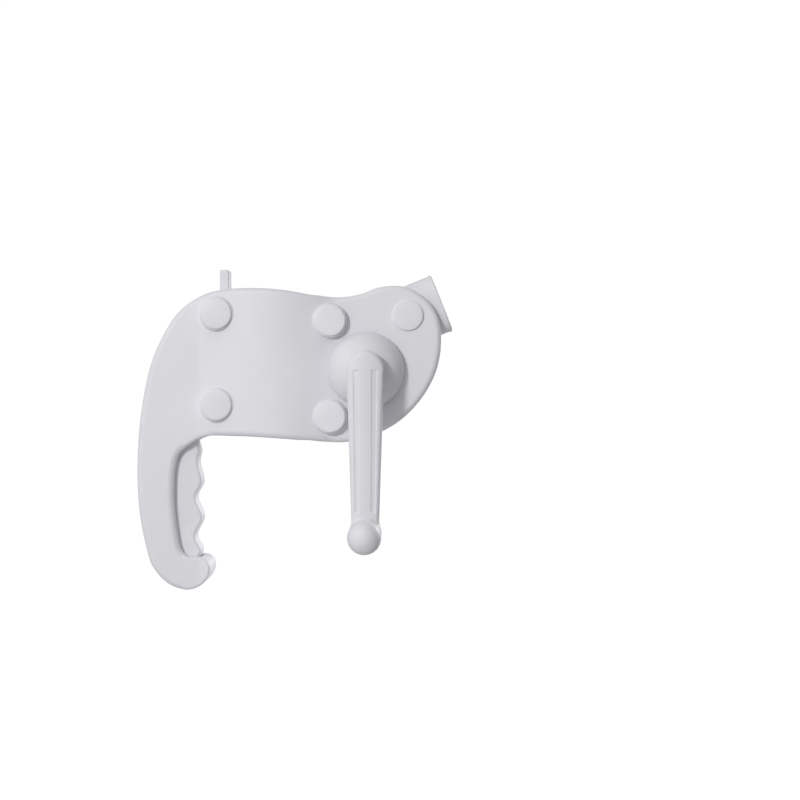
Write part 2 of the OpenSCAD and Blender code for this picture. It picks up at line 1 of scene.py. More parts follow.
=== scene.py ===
import json
import math
import bpy
import bmesh
import numpy as np
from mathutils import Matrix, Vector


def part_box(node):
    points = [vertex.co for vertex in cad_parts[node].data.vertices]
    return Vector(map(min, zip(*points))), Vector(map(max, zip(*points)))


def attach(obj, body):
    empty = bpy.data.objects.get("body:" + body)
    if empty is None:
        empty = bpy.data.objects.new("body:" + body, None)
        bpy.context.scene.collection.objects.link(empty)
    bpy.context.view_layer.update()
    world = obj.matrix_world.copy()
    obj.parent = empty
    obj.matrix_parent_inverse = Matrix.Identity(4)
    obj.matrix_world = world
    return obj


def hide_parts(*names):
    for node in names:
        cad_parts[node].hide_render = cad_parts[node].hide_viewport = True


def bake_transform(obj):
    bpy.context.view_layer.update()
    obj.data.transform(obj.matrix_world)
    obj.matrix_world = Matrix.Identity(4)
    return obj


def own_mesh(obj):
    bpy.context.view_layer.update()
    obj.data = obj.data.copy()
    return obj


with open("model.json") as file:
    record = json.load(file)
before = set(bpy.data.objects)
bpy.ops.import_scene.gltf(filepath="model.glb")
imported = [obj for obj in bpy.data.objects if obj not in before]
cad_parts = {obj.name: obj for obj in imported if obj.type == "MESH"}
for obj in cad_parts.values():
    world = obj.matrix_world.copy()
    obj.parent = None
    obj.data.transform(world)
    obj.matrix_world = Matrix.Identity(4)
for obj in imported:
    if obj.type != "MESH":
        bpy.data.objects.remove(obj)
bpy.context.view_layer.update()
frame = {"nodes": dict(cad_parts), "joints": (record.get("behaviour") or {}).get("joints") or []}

# Sliding crank bracket of a cantilever parasol, its vertical mast passage centred on the Z axis.
# X runs from the squeeze grip (-X) to the arm pivot lobe (+X), -Y is the front and Z is up.
# The shape code works in millimetres; the stage, lights and camera are in metres.
MM = 0.001
cad = frame["nodes"]
scene = bpy.context.scene
collection = scene.collection


# ---------- places, from the CAD ----------
def joint_place(name):
    """(x, z) of a joint."""
    position = next(joint["pos_m"] for joint in frame["joints"] if joint["name"] == name)
    return (position[0] / MM, position[2] / MM)


def vertex_points(obj):
    flat = np.empty(len(obj.data.vertices) * 3)
    obj.data.vertices.foreach_get("co", flat)
    return flat.reshape(-1, 3) / MM


def near(first, second, gap=2.0):
    """Whether two boxes [x0, x1, z0, z1] overlap or lie within a gap of each other."""
    return (first[0] - gap <= second[1] and second[0] - gap <= first[1]
            and first[2] - gap <= second[3] and second[2] - gap <= first[3])


def merged(first, second):
    return [min(first[0], second[0]), max(first[1], second[1]),
            min(first[2], second[2]), max(first[3], second[3])]


def merge_pair(boxes):
    """Merges the first two neighbouring boxes, and tells whether there were any."""
    for i in range(len(boxes)):
        for k in range(i + 1, len(boxes)):
            if near(boxes[i], boxes[k]):
                boxes[i] = merged(boxes[i], boxes.pop(k))
                return True
    return False


def round_centres(node):
    """Centres (x, z) of the separate round pieces of a node."""
    points = vertex_points(cad[node])[:, [0, 2]]
    boxes = []
    for x, z in points[np.lexsort((points[:, 1], points[:, 0]))]:
        spot = [x, x, z, z]
        for box in boxes:
            if near(box, spot):
                box[:] = merged(box, spot)
                break
        else:
            boxes.append(spot)
    while merge_pair(boxes):
        pass
    return [((box[0] + box[1]) / 2, (box[2] + box[3]) / 2) for box in boxes]


def limits(node):
    low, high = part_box(node)
    return [value / MM for value in low], [value / MM for value in high]


pivot = joint_place("arm_swing")
shaft = joint_place("crank_turn")
knob = joint_place("knob_spin")
hinge = joint_place("lever_squeeze")
bolts = round_centres("bolt_washers")
screws = round_centres("shell_screws")
ARM_ANGLE = math.radians(22)
arm_cos, arm_sin = math.cos(ARM_ANGLE), math.sin(ARM_ANGLE)

# ---------- outlines, points (x, z) ----------
HOUSING_OUTLINE = [
    (-48, 51), (-32, 53.4), (-13, 53.6), (2, 52.7), (20, 50.2), (34, 48.3), (44, 47.5), (54, 48.2),
    (64, 50.7), (73, 54.4), (83, 56), (93, 55.3), (101.5, 51.7), (110, 45), (115.5, 37.6),
    (118.7, 28.7), (119.6, 18), (118.6, 6), (115.5, -6.5), (109.5, -18.8), (101.3, -30.2),
    (90, -41.2), (77, -49.2), (64, -54), (51, -56.8), (43, -57.1), (20, -55.5), (-13, -53.1),
    (-43, -52.2), (-50, -52.7), (-56, -54.6), (-62, -58.2), (-67.5, -62.5), (-71, -67.5),
    (-73, -76), (-73.7, -88), (-73.6, -102), (-72.4, -115), (-70.2, -129), (-68.4, -134.6),
    (-65.6, -138.5), (-61.5, -139.9), (-54.5, -140), (-50.3, -141.5), (-47.7, -144.7), (-47, -149),
    (-48.8, -154.6), (-53, -159.5), (-58, -162.3), (-64, -163.5), (-70, -162.6), (-76, -160.3),
    (-82, -155.7), (-87.5, -149.2), (-91, -142.6), (-94.7, -128.5), (-97.5, -114.5), (-99.3, -99),
    (-100.1, -80), (-99.7, -62), (-98.2, -42), (-95.5, -23.5), (-91.3, -4), (-87, 8.5),
    (-81.5, 20), (-74.5, 32), (-66, 41), (-57, 47)]
LEVER_OUTLINE = [
    (-58.5, -44), (-57.7, -56), (-55.9, -63.4), (-57.1, -72), (-54.2, -86), (-58.8, -97.2),
    (-53.8, -111.6), (-59, -124.8), (-54.9, -134.8), (-55.9, -139.6), (-59.5, -146), (-65, -151),
    (-74, -152.6), (-81, -149), (-82.5, -142), (-81, -130), (-80.5, -115), (-80.5, -95),
    (-79.5, -75), (-76.5, -55), (-73, -35), (-70, -18)]
FORK_OUTLINE = [(-72.4, -32), (-58.5, -50), (-57.6, -36), (-57.4, 6), (-58.9, 8), (-64.4, 8),
                (-65.9, 6), (-65.9, -9)]
LEVER_SLOT_OUTLINE = [(-88, -50), (-54.5, -50), (-49, -57), (-49, -136.4), (-53.9, -137.6),
                      (-54.9, -141), (-58.2, -146.5), (-88, -146.5)]
# Room for the arm to swing, measured from the pivot
SWING_OUTLINE = [(0, -22.6), (60, -22.6), (60, 70), (-12.6, 72.4), (-22.38, 3.15)]


def catmull(points, parts=12):
    """Closed Catmull-Rom curve with a number of parts to each span."""
    points = np.array(points, float)
    before, start = np.roll(points, 1, 0), points
    end, after = np.roll(points, -1, 0), np.roll(points, -2, 0)
    curve = []
    for k in range(parts):
        t = k / parts
        curve.append(0.5 * (2 * start + (end - before) * t
                            + (2 * before - 5 * start + 4 * end - after) * t * t
                            + (3 * start - before - 3 * end + after) * t ** 3))
    return np.stack(curve, 1).reshape(-1, 2)


def even(points, step, sigma):
    """A closed line resampled at an even step, then smoothed along its length."""
    loop = np.vstack([points, points[:1]])
    length = np.concatenate([[0], np.cumsum(np.hypot(*np.diff(loop, axis=0).T))])
    count = int(round(length[-1] / step))
    at = np.linspace(0, length[-1], count, endpoint=False)
    line = np.stack([np.interp(at, length, loop[:, 0]), np.interp(at, length, loop[:, 1])], 1)
    reach = int(3 * sigma / step) + 1
    weights = np.exp(-0.5 * (np.arange(-reach, reach + 1) * step / sigma) ** 2)
    weights /= weights.sum()
    smooth = np.zeros_like(line)
    for shift, weight in zip(range(-reach, reach + 1), weights):
        smooth += weight * np.roll(line, -shift, 0)
    return smooth


def polygon_distance(x, z, points):
    """Signed distance to a closed polygon, negative inside."""
    x, z = np.broadcast_arrays(np.asarray(x, float), np.asarray(z, float))
    squared = np.full(x.shape, 1e9)
    inside = np.zeros(x.shape, bool)
    for i in range(len(points)):
        ax, az = points[i]
        bx, bz = points[(i + 1) % len(points)]
        ex, ez = bx - ax, bz - az
        wx, wz = x - ax, z - az
        t = np.clip((wx * ex + wz * ez) / (ex * ex + ez * ez + 1e-12), 0, 1)
        squared = np.minimum(squared, (wx - ex * t) ** 2 + (wz - ez * t) ** 2)
        crossing = (az > z) != (bz > z)
        if crossing.any():
            inside ^= crossing & (x < ax + (z - az) * ex / ez)
    return np.where(inside, -1, 1) * np.sqrt(squared)


def cubic_weights(t):
    return (-0.5 * t + t * t - 0.5 * t ** 3, 1 - 2.5 * t * t + 1.5 * t ** 3,
            0.5 * t + 2 * t * t - 1.5 * t ** 3, -0.5 * t * t + 0.5 * t ** 3)


class OutlineDistance:
    """Signed distance to a closed line, kept on a grid and read with cubic interpolation."""

    def __init__(self, points, step, pad):
        self.step = step
        self.low = points.min(0) - pad
        count = np.ceil((points.max(0) + pad - self.low) / step).astype(int) + 1
        grid_x = self.low[0] + step * np.arange(count[0])
        grid_z = self.low[1] + step * np.arange(count[1])
        self.grid = polygon_distance(grid_x[:, None], grid_z[None, :], points)

    def __call__(self, x, z):
        count_x, count_z = self.grid.shape
        x = np.clip((x - self.low[0]) / self.step, 1.0, count_x - 2.001)
        z = np.clip((z - self.low[1]) / self.step, 1.0, count_z - 2.001)
        cell_x, cell_z = np.floor(x).astype(int), np.floor(z).astype(int)
        weights_x, weights_z = cubic_weights(x - cell_x), cubic_weights(z - cell_z)
        total = 0.0
        for i in range(4):
            row = 0.0
            for k in range(4):
                row = row + weights_z[k] * self.grid[cell_x + i - 1, cell_z + k - 1]
            total = total + weights_x[i] * row
        return total


# ---------- solids as distance fields, negative inside ----------
# In these operations the last argument is the radius of the edge or corner they leave.
def inter(a, b, radius=0.0):
    if np.ndim(radius) == 0 and radius <= 0:
        return np.maximum(a, b)
    return (np.minimum(np.maximum(a, b), -radius)
            + np.hypot(np.maximum(a + radius, 0), np.maximum(b + radius, 0)))


def union(a, b, radius):
    return (np.maximum(np.minimum(a, b), radius)
            - np.hypot(np.maximum(radius - a, 0), np.maximum(radius - b, 0)))


def minus(a, b, radius=0.0):
    return inter(a, -b, radius)


def box_field(x, y, z, low, high, radius=0.0):
    q = [np.maximum(l - v, v - h) + radius for v, l, h in zip((x, y, z), low, high)]
    inner = np.minimum(np.maximum(np.maximum(q[0], q[1]), q[2]), 0)
    outer = np.sqrt(np.maximum(q[0], 0) ** 2 + np.maximum(q[1], 0) ** 2
                    + np.maximum(q[2], 0) ** 2)
    return inner + outer - radius


def from_axis(x, z, centre):
    """Distance from a Y axis through a centre (x, z)."""
    return np.hypot(x - centre[0], z - centre[1])


def ease(t):
    t = np.clip(t, 0.0, 1.0)
    return t * t * (3 - 2 * t)


# ---------- meshes from fields ----------
GRID_SHIFT = 0.0137
CORNERS = [(i, j, k) for i in (0, 1) for j in (0, 1) for k in (0, 1)]


def field_gradient(field, points, reach):
    value = field(points[:, 0], points[:, 1], points[:, 2])
    slope = np.empty_like(points)
    for m in range(3):
        ahead, behind = points.copy(), points.copy()
        ahead[:, m] += reach
        behind[:, m] -= reach
        slope[:, m] = (field(ahead[:, 0], ahead[:, 1], ahead[:, 2])
                       - field(behind[:, 0], behind[:, 1], behind[:, 2])) / (2 * reach)
    return value, slope


def net_vertices(axes, distance, cells):
    """Mean place where the surface cuts the edges of each cell."""
    total = np.zeros((len(cells), 3))
    hits = np.zeros(len(cells))
    for corner in CORNERS:
        for m in range(3):
            if corner[m]:
                continue
            other = list(corner)
            other[m] = 1
            start, end = cells + corner, cells + other
            d_start, d_end = distance[tuple(start.T)], distance[tuple(end.T)]
            hit = (d_start < 0) != (d_end < 0)
            t = d_start[hit] / (d_start[hit] - d_end[hit])
            p_start = np.stack([axes[q][start[hit, q]] for q in range(3)], 1)
            p_end = np.stack([axes[q][end[hit, q]] for q in range(3)], 1)
            total[hit] += p_start + (p_end - p_start) * t[:, None]
            hits[hit] += 1
    return total / hits[:, None]


def net_faces(solid, index):
    """One quad round each grid edge that the surface cuts."""
    faces = []
    for m in range(3):
        p, q = (m + 1) % 3, (m + 2) % 3
        near_end = [slice(1, -1)] * 3
        far_end = [slice(1, -1)] * 3
        near_end[m], far_end[m] = slice(0, -1), slice(1, None)
        near_solid, far_solid = solid[tuple(near_end)], solid[tuple(far_end)]
        at = np.argwhere(near_solid != far_solid)
        forward = near_solid[tuple(at.T)]
        at[:, p] += 1
        at[:, q] += 1
        quad = []
        for dp, dq in ((-1, -1), (0, -1), (0, 0), (-1, 0)):
            cell = at.copy()
            cell[:, p] += dp
            cell[:, q] += dq
            quad.append(index[tuple(cell.T)])
        quad = np.stack(quad, 1)
        quad[~forward] = quad[~forward][:, ::-1]
        faces.append(quad)
    return np.vstack(faces)


def surface_net(field, low, high, step):
    """Closed quad mesh of the surface field = 0, its vertices moved onto the surface."""
    axes = [np.arange(l - 1.5 * step + GRID_SHIFT, h + 2.5 * step, step)
            for l, h in zip(low, high)]
    distance = field(axes[0][:, None, None], axes[1][None, :, None], axes[2][None, None, :])
    distance = np.broadcast_to(distance, tuple(len(axis) for axis in axes))
    solid = distance < 0
    count = np.zeros(tuple(n - 1 for n in solid.shape), np.uint8)
    for i, j, k in CORNERS:
        count += solid[i:solid.shape[0] - 1 + i, j:solid.shape[1] - 1 + j,
                       k:solid.shape[2] - 1 + k]
    mixed = (count > 0) & (count < 8)
    cells = np.argwhere(mixed)
    index = np.full(mixed.shape, -1, np.int32)
    index[mixed] = np.arange(len(cells), dtype=np.int32)
    points = net_vertices(axes, distance, cells)
    faces = net_faces(solid, index)
    longest = 0.6 * step
    for _ in range(3):
        value, slope = field_gradient(field, points, 0.02)
        move = (value / np.maximum((slope * slope).sum(1), 0.25))[:, None] * slope
        size = np.linalg.norm(move, axis=1)
        points -= move * np.minimum(1, longest / np.maximum(size, 1e-9))[:, None]
    return points, faces


def quad_object(name, points, faces):
    mesh = bpy.data.meshes.new(name)
    count, sides = faces.shape
    mesh.vertices.add(len(points))
    mesh.vertices.foreach_set("co", (points * MM).ravel())
    mesh.loops.add(count * sides)
    mesh.loops.foreach_set("vertex_index", faces.ravel().astype(np.int32))
    mesh.polygons.add(count)
    mesh.polygons.foreach_set("loop_start", np.arange(0, count * sides, sides, dtype=np.int32))
    mesh.polygons.foreach_set("use_smooth", np.full(count, True))
    mesh.update(calc_edges=True)
    mesh.validate()
    obj = bpy.data.objects.new(name, mesh)
    collection.objects.link(obj)
    return obj


def thin_out(obj, ratio):
    """Collapses the flat regions of a dense mesh, then leaves no modifier behind."""
    obj.modifiers.new("d", "DECIMATE").ratio = ratio
    depsgraph = bpy.context.evaluated_depsgraph_get()
    mesh = bpy.data.meshes.new_from_object(obj.evaluated_get(depsgraph))
    obj.modifiers.clear()
    dense = obj.data
    obj.data = mesh
    bpy.data.meshes.remove(dense)
    mesh.polygons.foreach_set("use_smooth", np.full(len(mesh.polygons), True))


def field_piece(name, field, low, high, step, keep):
    """Object of a field: keep is the share of faces left, and the field gives the normals."""
    obj = quad_object(name, *surface_net(field, low, high, step))
    thin_out(obj, keep)
    _, normals = field_gradient(field, vertex_points(obj), 0.12)
    normals /= np.maximum(np.linalg.norm(normals, axis=1), 1e-9)[:, None]
    obj.data.normals_split_custom_set_from_vertices(normals)
    return obj


def grid_step(fine):
    return fine


def place(obj, body, material, slot, node):
    """Gives a new object its material and moving body, and hides the CAD node it replaces; the slot
    is not used.
    """
    obj.data.materials.clear()
    obj.data.materials.append(material)
    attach(obj, body)
    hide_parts(node)


# ---------- meshes from point lists ----------
def poly_object(name, verts, faces, sharp=None):
    mesh = bpy.data.meshes.new(name)
    mesh.from_pydata([tuple(value * MM for value in vert) for vert in verts], [], faces)
    edit = bmesh.new()
    edit.from_mesh(mesh)
    bmesh.ops.recalc_face_normals(edit, faces=edit.faces)
    edit.to_mesh(mesh)
    edit.free()
    mesh.polygons.foreach_set("use_smooth", np.full(len(mesh.polygons), True))
    if sharp:
        mesh.set_sharp_from_angle(angle=math.radians(sharp))
    mesh.update()
    obj = bpy.data.objects.new(name, mesh)
    collection.objects.link(obj)
    return obj


def join(parts):
    """One vertex and one face list from several (verts, faces)."""
    verts, faces = [], []
    for part_verts, part_faces in parts:
        faces += [[i + len(verts) for i in face] for face in part_faces]
        verts += part_verts
    return verts, faces


def arc(centre, radius, start, end, parts=8):
    """Points (radius, distance) round an arc, angles in degrees."""
    points = []
    for k in range(parts + 1):
        angle = math.radians(start + (end - start) * k / parts)
        points.append((centre[0] + radius * math.cos(angle),
                       centre[1] + radius * math.sin(angle)))
    return points


def domed(edge, top, parts=8):
    """Profile points of a shallow dome from its edge to the axis at a distance top."""
    return [(edge[0] * (1 - k / parts),
             edge[1] + (top - edge[1]) * (1 - (1 - k / parts) ** 2))
            for k in range(1, parts + 1)]


def round_corners(profile, radius, parts=4):
    """Rounds the corners of a closed profile whose corners are all right angles."""
    corners = [np.array(point, float) for point in profile]
    rounded = []
    for i, corner in enumerate(corners):
        back, ahead = corners[i - 1] - corner, corners[(i + 1) % len(corners)] - corner
        start = corner + back / np.linalg.norm(back) * radius
        end = corner + ahead / np.linalg.norm(ahead) * radius
        for k in range(parts + 1):
            t = k / parts
            rounded.append(tuple((1 - t) ** 2 * start + 2 * t * (1 - t) * corner + t * t * end))
    return rounded


def turn(centre, profile, segments, direction=-1):
    """A closed profile of (radius, distance) turned about a Y axis through a centre.

    The distance runs towards -Y when direction is -1. Radius 0 closes at the axis."""
    angles = np.linspace(0, 2 * math.pi, segments, endpoint=False)
    verts, rings = [], []
    for radius, distance in profile:
        y = direction * distance
        if radius < 1e-6:
            rings.append([len(verts)] * segments)
            verts.append((centre[0], y, centre[1]))
        else:
            rings.append(list(range(len(verts), len(verts) + segments)))
            verts += [(centre[0] + radius * math.cos(t), y, centre[1] + radius * math.sin(t))
                      for t in angles]
    faces = []
    for i, ring in enumerate(rings):
        following = rings[(i + 1) % len(rings)]
        for k in range(segments):
            l = (k + 1) % segments
            face = list(dict.fromkeys((ring[k], ring[l], following[l], following[k])))
            if len(face) >= 3:
                faces.append(face)
    return verts, faces


def lathe(name, parts, segments, sharp, direction=-1):
    """One object of several turned (centre, profile) parts."""
    turned = [turn(centre, profile, segments, direction) for centre, profile in parts]
    return poly_object(name, *join(turned), sharp=sharp)


def sweep(path, reference, radius, segments):
    """A capped tube along a path; the radius is one number or one for each vertex."""
    tangent = np.gradient(path, axis=0)
    tangent /= np.linalg.norm(tangent, axis=1)[:, None]
    side = np.cross(tangent, np.array(reference))
    side /= np.linalg.norm(side, axis=1)[:, None]
    rise = np.cross(tangent, side)
    angles = np.linspace(0, 2 * math.pi, segments, endpoint=False)
    spokes = (np.cos(angles)[:, None] * side[:, None, :]
              + np.sin(angles)[:, None] * rise[:, None, :])
    points = path[:, None, :] + np.asarray(radius)[..., None] * spokes
    verts = [tuple(point) for point in points.reshape(-1, 3)]
    faces = []
    for start in range(0, (len(path) - 1) * segments, segments):
        for k in range(segments):
            l = (k + 1) % segments
            faces.append((start + k, start + l, start + segments + l, start + segments + k))
    for start, end_point in ((0, path[0]), ((len(path) - 1) * segments, path[-1])):
        faces += [(start + k, start + (k + 1) % segments, len(verts)) for k in range(segments)]
        verts.append(tuple(end_point))
    return verts, faces


# ---------- shader nodes ----------
def set_inputs(tree, node, inputs):
    """Links the inputs that are given a socket and sets the others."""
    for key, value in inputs.items():
        if isinstance(value, bpy.types.NodeSocket):
            tree.links.new(value, node.inputs[key])
        else:
            node.inputs[key].default_value = value


def add_node(tree, kind, inputs={}, **settings):
    node = tree.nodes.new(kind)
    for key, value in settings.items():
        setattr(node, key, value)
    set_inputs(tree, node, inputs)
    return node


def map_range(tree, value, source, target=(0.0, 1.0), curve="SMOOTHSTEP"):
    """Maps the source range onto the target range along an eased curve."""
    inputs = {"Value": value, "From Min": source[0], "From Max": source[1],
              "To Min": target[0], "To Max": target[1]}
    return add_node(tree, "ShaderNodeMapRange", inputs, interpolation_type=curve).outputs["Result"]


def shade(tone, factor):
    return tuple(value * factor for value in tone)


class Material:
    """A Principled material; its methods add nodes and return their output sockets."""

    def __init__(self, name):
        self.data = bpy.data.materials.new(name)
        self.data.use_nodes = True
        self.tree = self.data.node_tree
        self.tree.nodes.clear()
        self.output = self.node("ShaderNodeOutputMaterial")
        self.shader = self.node("ShaderNodeBsdfPrincipled")
        set_inputs(self.tree, self.output, {"Surface": self.shader.outputs["BSDF"]})
        self.place = self.node("ShaderNodeTexCoord").outputs["Object"]

    def node(self, kind, inputs={}, **settings):
        return add_node(self.tree, kind, inputs, **settings)

    def noise(self, scale, detail=3.0, rough=0.6, stretch=None, distortion=0.0):
        place = self.place
        if stretch:
            mapping = self.node("ShaderNodeMapping", {"Scale": stretch, "Vector": place})
            place = mapping.outputs["Vector"]
        inputs = {"Scale": scale, "Detail": detail, "Roughness": rough,
                  "Distortion": distortion, "Vector": place}
        return self.node("ShaderNodeTexNoise", inputs).outputs["Fac"]

    def ramp(self, source, *stops):
        """Grey ramp of two (position, brightness) stops."""
        node = self.node("ShaderNodeValToRGB", {"Fac": source})
        for element, (position, grey) in zip(node.color_ramp.elements, stops):
            element.position = position
            element.color = (grey, grey, grey, 1)
        return node.outputs["Color"]

    def mix(self, factor, first, second):
        # Sockets 0, 6 and 7 of a colour mix are its factor, A and B.
        inputs = {0: factor}
        for key, colour in ((6, first), (7, second)):
            inputs[key] = (*colour, 1) if isinstance(colour, tuple) else colour
        return self.node("ShaderNodeMix", inputs, data_type="RGBA", blend_type="MIX").outputs[2]

    def math(self, operation, first, second, clamp=False):
        inputs = {0: first, 1: second, 2: 0.0}
        node = self.node("ShaderNodeMath", inputs, operation=operation, use_clamp=clamp)
        return node.outputs[0]

    def swing(self, source, amount):
        """A noise centred on zero and scaled."""
        return self.math("MULTIPLY", self.math("SUBTRACT", source, 0.5), amount)

    def pointiness(self):
        return self.node("ShaderNodeNewGeometry").outputs["Pointiness"]

    def bump(self, height, strength, distance, normal=None):
        inputs = {"Strength": strength, "Distance": distance, "Height": height}
        if normal is not None:
            inputs["Normal"] = normal
        return self.node("ShaderNodeBump", inputs).outputs["Normal"]

    def finish(self, colour, roughness, normal, inputs={}):
        set_inputs(self.tree, self.shader, {"Base Color": colour, "Roughness": roughness,
                                            "Normal": normal, **inputs})
        return self.data


# ---------- materials ----------
def witness_disc(mat, centre):
    """1 inside a small disc round (x, z), easing to 0 at its edge."""
    flat = mat.node("ShaderNodeVectorMath", {0: mat.place, 1: (1, 0, 1)}, operation="MULTIPLY")
    gap = mat.node("ShaderNodeVectorMath", {0: flat.outputs["Vector"],
                                            1: (centre[0] * MM, 0, centre[1] * MM)},
                   operation="DISTANCE")
    return map_range(mat.tree, gap.outputs["Value"], (0.00262, 0.00300), (1.0, 0.0))


def plastic(name, tone, rough, grain=1.0, shift=0.0, subsurface=0.0, marks=()):
    """Moulded plastic: fine grain, slow flow mottling, edges rubbed smoother with a painted
    highlight, and dust with painted shade in the crevices.

    The shift alters the scale of the flow mottling; marks are ejector pin centres."""
    mat = Material(name)
    flow = mat.noise(scale=14.0 + shift, detail=2.0, rough=0.5, distortion=0.6)
    fine = mat.noise(scale=1500.0)
    mid = mat.noise(scale=240.0, rough=0.55)
    pointiness = mat.pointiness()
    colour = mat.mix(mat.ramp(flow, (0.35, 0.0), (0.65, 1.0)),
                     shade(tone, 0.975), shade(tone, 1.012))
    # crevices get a little grey dust and painted shade; edges get a painted highlight
    crevice_dust_and_shade = mat.math("MULTIPLY", mat.ramp(pointiness, (0.42, 1.0), (0.49, 0.0)),
                    mat.ramp(mid, (0.3, 0.35), (0.7, 1.0)))
    crevice_dust_and_shade_tone = tuple(value * tint for value, tint in zip(tone, (0.80, 0.79, 0.77)))
    colour = mat.mix(mat.math("MULTIPLY", crevice_dust_and_shade, 0.16), colour, crevice_dust_and_shade_tone)
    # painted highlight: convex edges lighter in colour; the same mask lowers the roughness where
    # the plastic is rubbed
    edge = mat.ramp(pointiness, (0.52, 0.0), (0.60, 1.0))
    colour = mat.mix(mat.math("MULTIPLY", edge, 0.25), colour, shade(tone, 1.04))
    roughness = mat.math("ADD", mat.swing(mid, 0.16), mat.math("ADD", mat.swing(flow, 0.10), rough))
    roughness = mat.math("SUBTRACT", roughness, mat.math("MULTIPLY", edge, 0.06), clamp=True)
    normal = mat.bump(fine, strength=0.10 * grain, distance=0.00012)
    normal = mat.bump(mid, 0.06 * grain, 0.0003, normal)
    if marks:
        # faint witness rings of the ejector pins, drawn where the discs ease out
        discs = [witness_disc(mat, centre) for centre in marks]
        total = discs[0]
        for disc in discs[1:]:
            total = mat.math("ADD", total, disc)
        line = mat.math("MULTIPLY", total, mat.math("SUBTRACT", 1.0, total))
        line = mat.math("MULTIPLY", line, 4.0, clamp=True)
        colour = mat.mix(mat.math("MULTIPLY", line, 0.10), colour, shade(tone, 0.7))
        normal = mat.bump(total, 0.5, 0.00008, normal)
    extra = {"IOR": 1.49}
    if subsurface:
        extra.update({"Subsurface Weight": subsurface, "Subsurface Scale": 0.5,
                      "Subsurface Radius": (0.004, 0.0036, 0.0032)})
    return mat.finish(colour, roughness, normal, extra)


def metal(name, tone, rough, tint, spots, streak=(60, 60, 900)):
    """Plated steel: drawn streaks, a soft passivation tint and small dull spots."""
    mat = Material(name)
    streaks = mat.noise(scale=1.0, detail=4.0, stretch=streak)
    cloud = mat.noise(scale=90.0)
    fine = mat.noise(scale=2200.0, detail=2.0)
    tinted = tuple(value * part for value, part in zip(tone, tint))
    colour = mat.mix(mat.ramp(cloud, (0.38, 0.0), (0.62, 1.0)), tone, tinted)
    streak_mask = mat.math("MULTIPLY", mat.ramp(streaks, (0.4, 0.0), (0.6, 1.0)), 0.22)
    colour = mat.mix(streak_mask, colour, shade(tone, 0.78))
    speckle = mat.noise(scale=420.0, detail=1.0, rough=0.5)
    spot = mat.ramp(speckle, (0.66, 0.0), (0.72, 1.0))
    colour = mat.mix(mat.math("MULTIPLY", spot, spots), colour, shade(tone, 0.5))
    roughness = mat.math("ADD", mat.swing(streaks, 0.22),
                         mat.math("ADD", mat.math("MULTIPLY", spot, 0.2), rough), clamp=True)
    normal = mat.bump(streaks, strength=0.10, distance=0.0001)
    normal = mat.bump(fine, 0.08, 0.0001, normal)
    return mat.finish(colour, roughness, normal, {"Metallic": 1.0})


def braid(name, tone):
    """Braided polyester: fibres along the strands, with painted shade between them."""
    mat = Material(name)
    pointiness = mat.pointiness()
    fibres = mat.noise(scale=1.0, stretch=(2600, 500, 2600))
    fleck = mat.noise(scale=700.0, detail=2.0, rough=0.5)
    colour = mat.mix(mat.ramp(fleck, (0.4, 0.0), (0.65, 1.0)), shade(tone, 0.86), tone)
    # painted shade in the hollows between the strands
    strand_gap_shade = mat.ramp(pointiness, (0.40, 1.0), (0.50, 0.0))
    colour = mat.mix(mat.math("MULTIPLY", strand_gap_shade, 0.65), colour, shade(tone, 0.42))
    return mat.finish(colour, mat.ramp(fibres, (0.3, 0.72), (0.7, 0.9)),
                      mat.bump(fibres, strength=0.35, distance=0.0002),
                      {"Sheen Weight": 0.25, "Sheen Roughness": 0.5})


WHITE = (0.800, 0.792, 0.836)
EJECTOR_MARKS = [(-77.5, 1.5), (-90.4, -60.4), (-81.1, -145.4), (104.0, 2.2)]
white = plastic("white_satin", WHITE, rough=0.52, marks=EJECTOR_MARKS)
white_cap = plastic("white_cap", shade(WHITE, 1.02), rough=0.48, grain=0.8, shift=5.0)
white_lever = plastic("white_lever", shade(WHITE, 0.985), rough=0.50, grain=1.1, shift=9.0)
white_crank = plastic("white_crank", WHITE, rough=0.48, grain=0.7, shift=3.0)
white_knob = plastic("white_knob", shade(WHITE, 0.995), rough=0.54, grain=0.9, shift=7.0)
acetal = plastic("acetal_black", (0.020, 0.020, 0.022), rough=0.36, grain=0.6)
nylon = plastic("nylon_natural", (0.74, 0.71, 0.61), rough=0.38, grain=0.8, subsurface=0.15)
zinc = metal("zinc_plate", (0.62, 0.63, 0.65), rough=0.30, tint=(1.0, 0.975, 0.90), spots=0.25)
spring_steel = metal("spring_wire", (0.30, 0.30, 0.31), rough=0.33, tint=(1.0, 0.93, 0.82),
                     spots=0.3, streak=(300, 900, 300))
cord = braid("cord_braid", (0.66, 0.65, 0.61))

# ---------- housing ----------
# Half thicknesses in Y: the crown over the passage, the grip (-X) and the lobe (+X)
CROWN_T, GRIP_T, LOBE_T = 30.0, 19.0, 21.0
GRIP_REACH, LOBE_REACH, CROWN_BLEND = 52.0, 39.5, 2.2   # where the crown meets the flats
EDGE_R, LEVER_EDGE_DROP = 4.2, 2.2
BOSS_R, BOSS_TAPER, BOSS_FOOT, BOSS_TOP = 11.9, 0.06, 14, 27.0
# Hollows inside the walls: inner end in X and depth
WALL = 3.0
GRIP_HOLLOW_X, GRIP_HOLLOW_T = -52.0, 16.0
LOBE_HOLLOW_X, LOBE_HOLLOW_T = 43.0, 17.5
SCREW_POST_R, HINGE_POST_R, HINGE_POST_FOOT = 4.2, 6.0, 10.7
PIVOT_POST_R, PIVOT_POST_FOOT, PIVOT_FACE = 12.5, 15.65, 15.62
BACK_BLOCK = (-110, -50, -8), (-84.5, 50, 8)
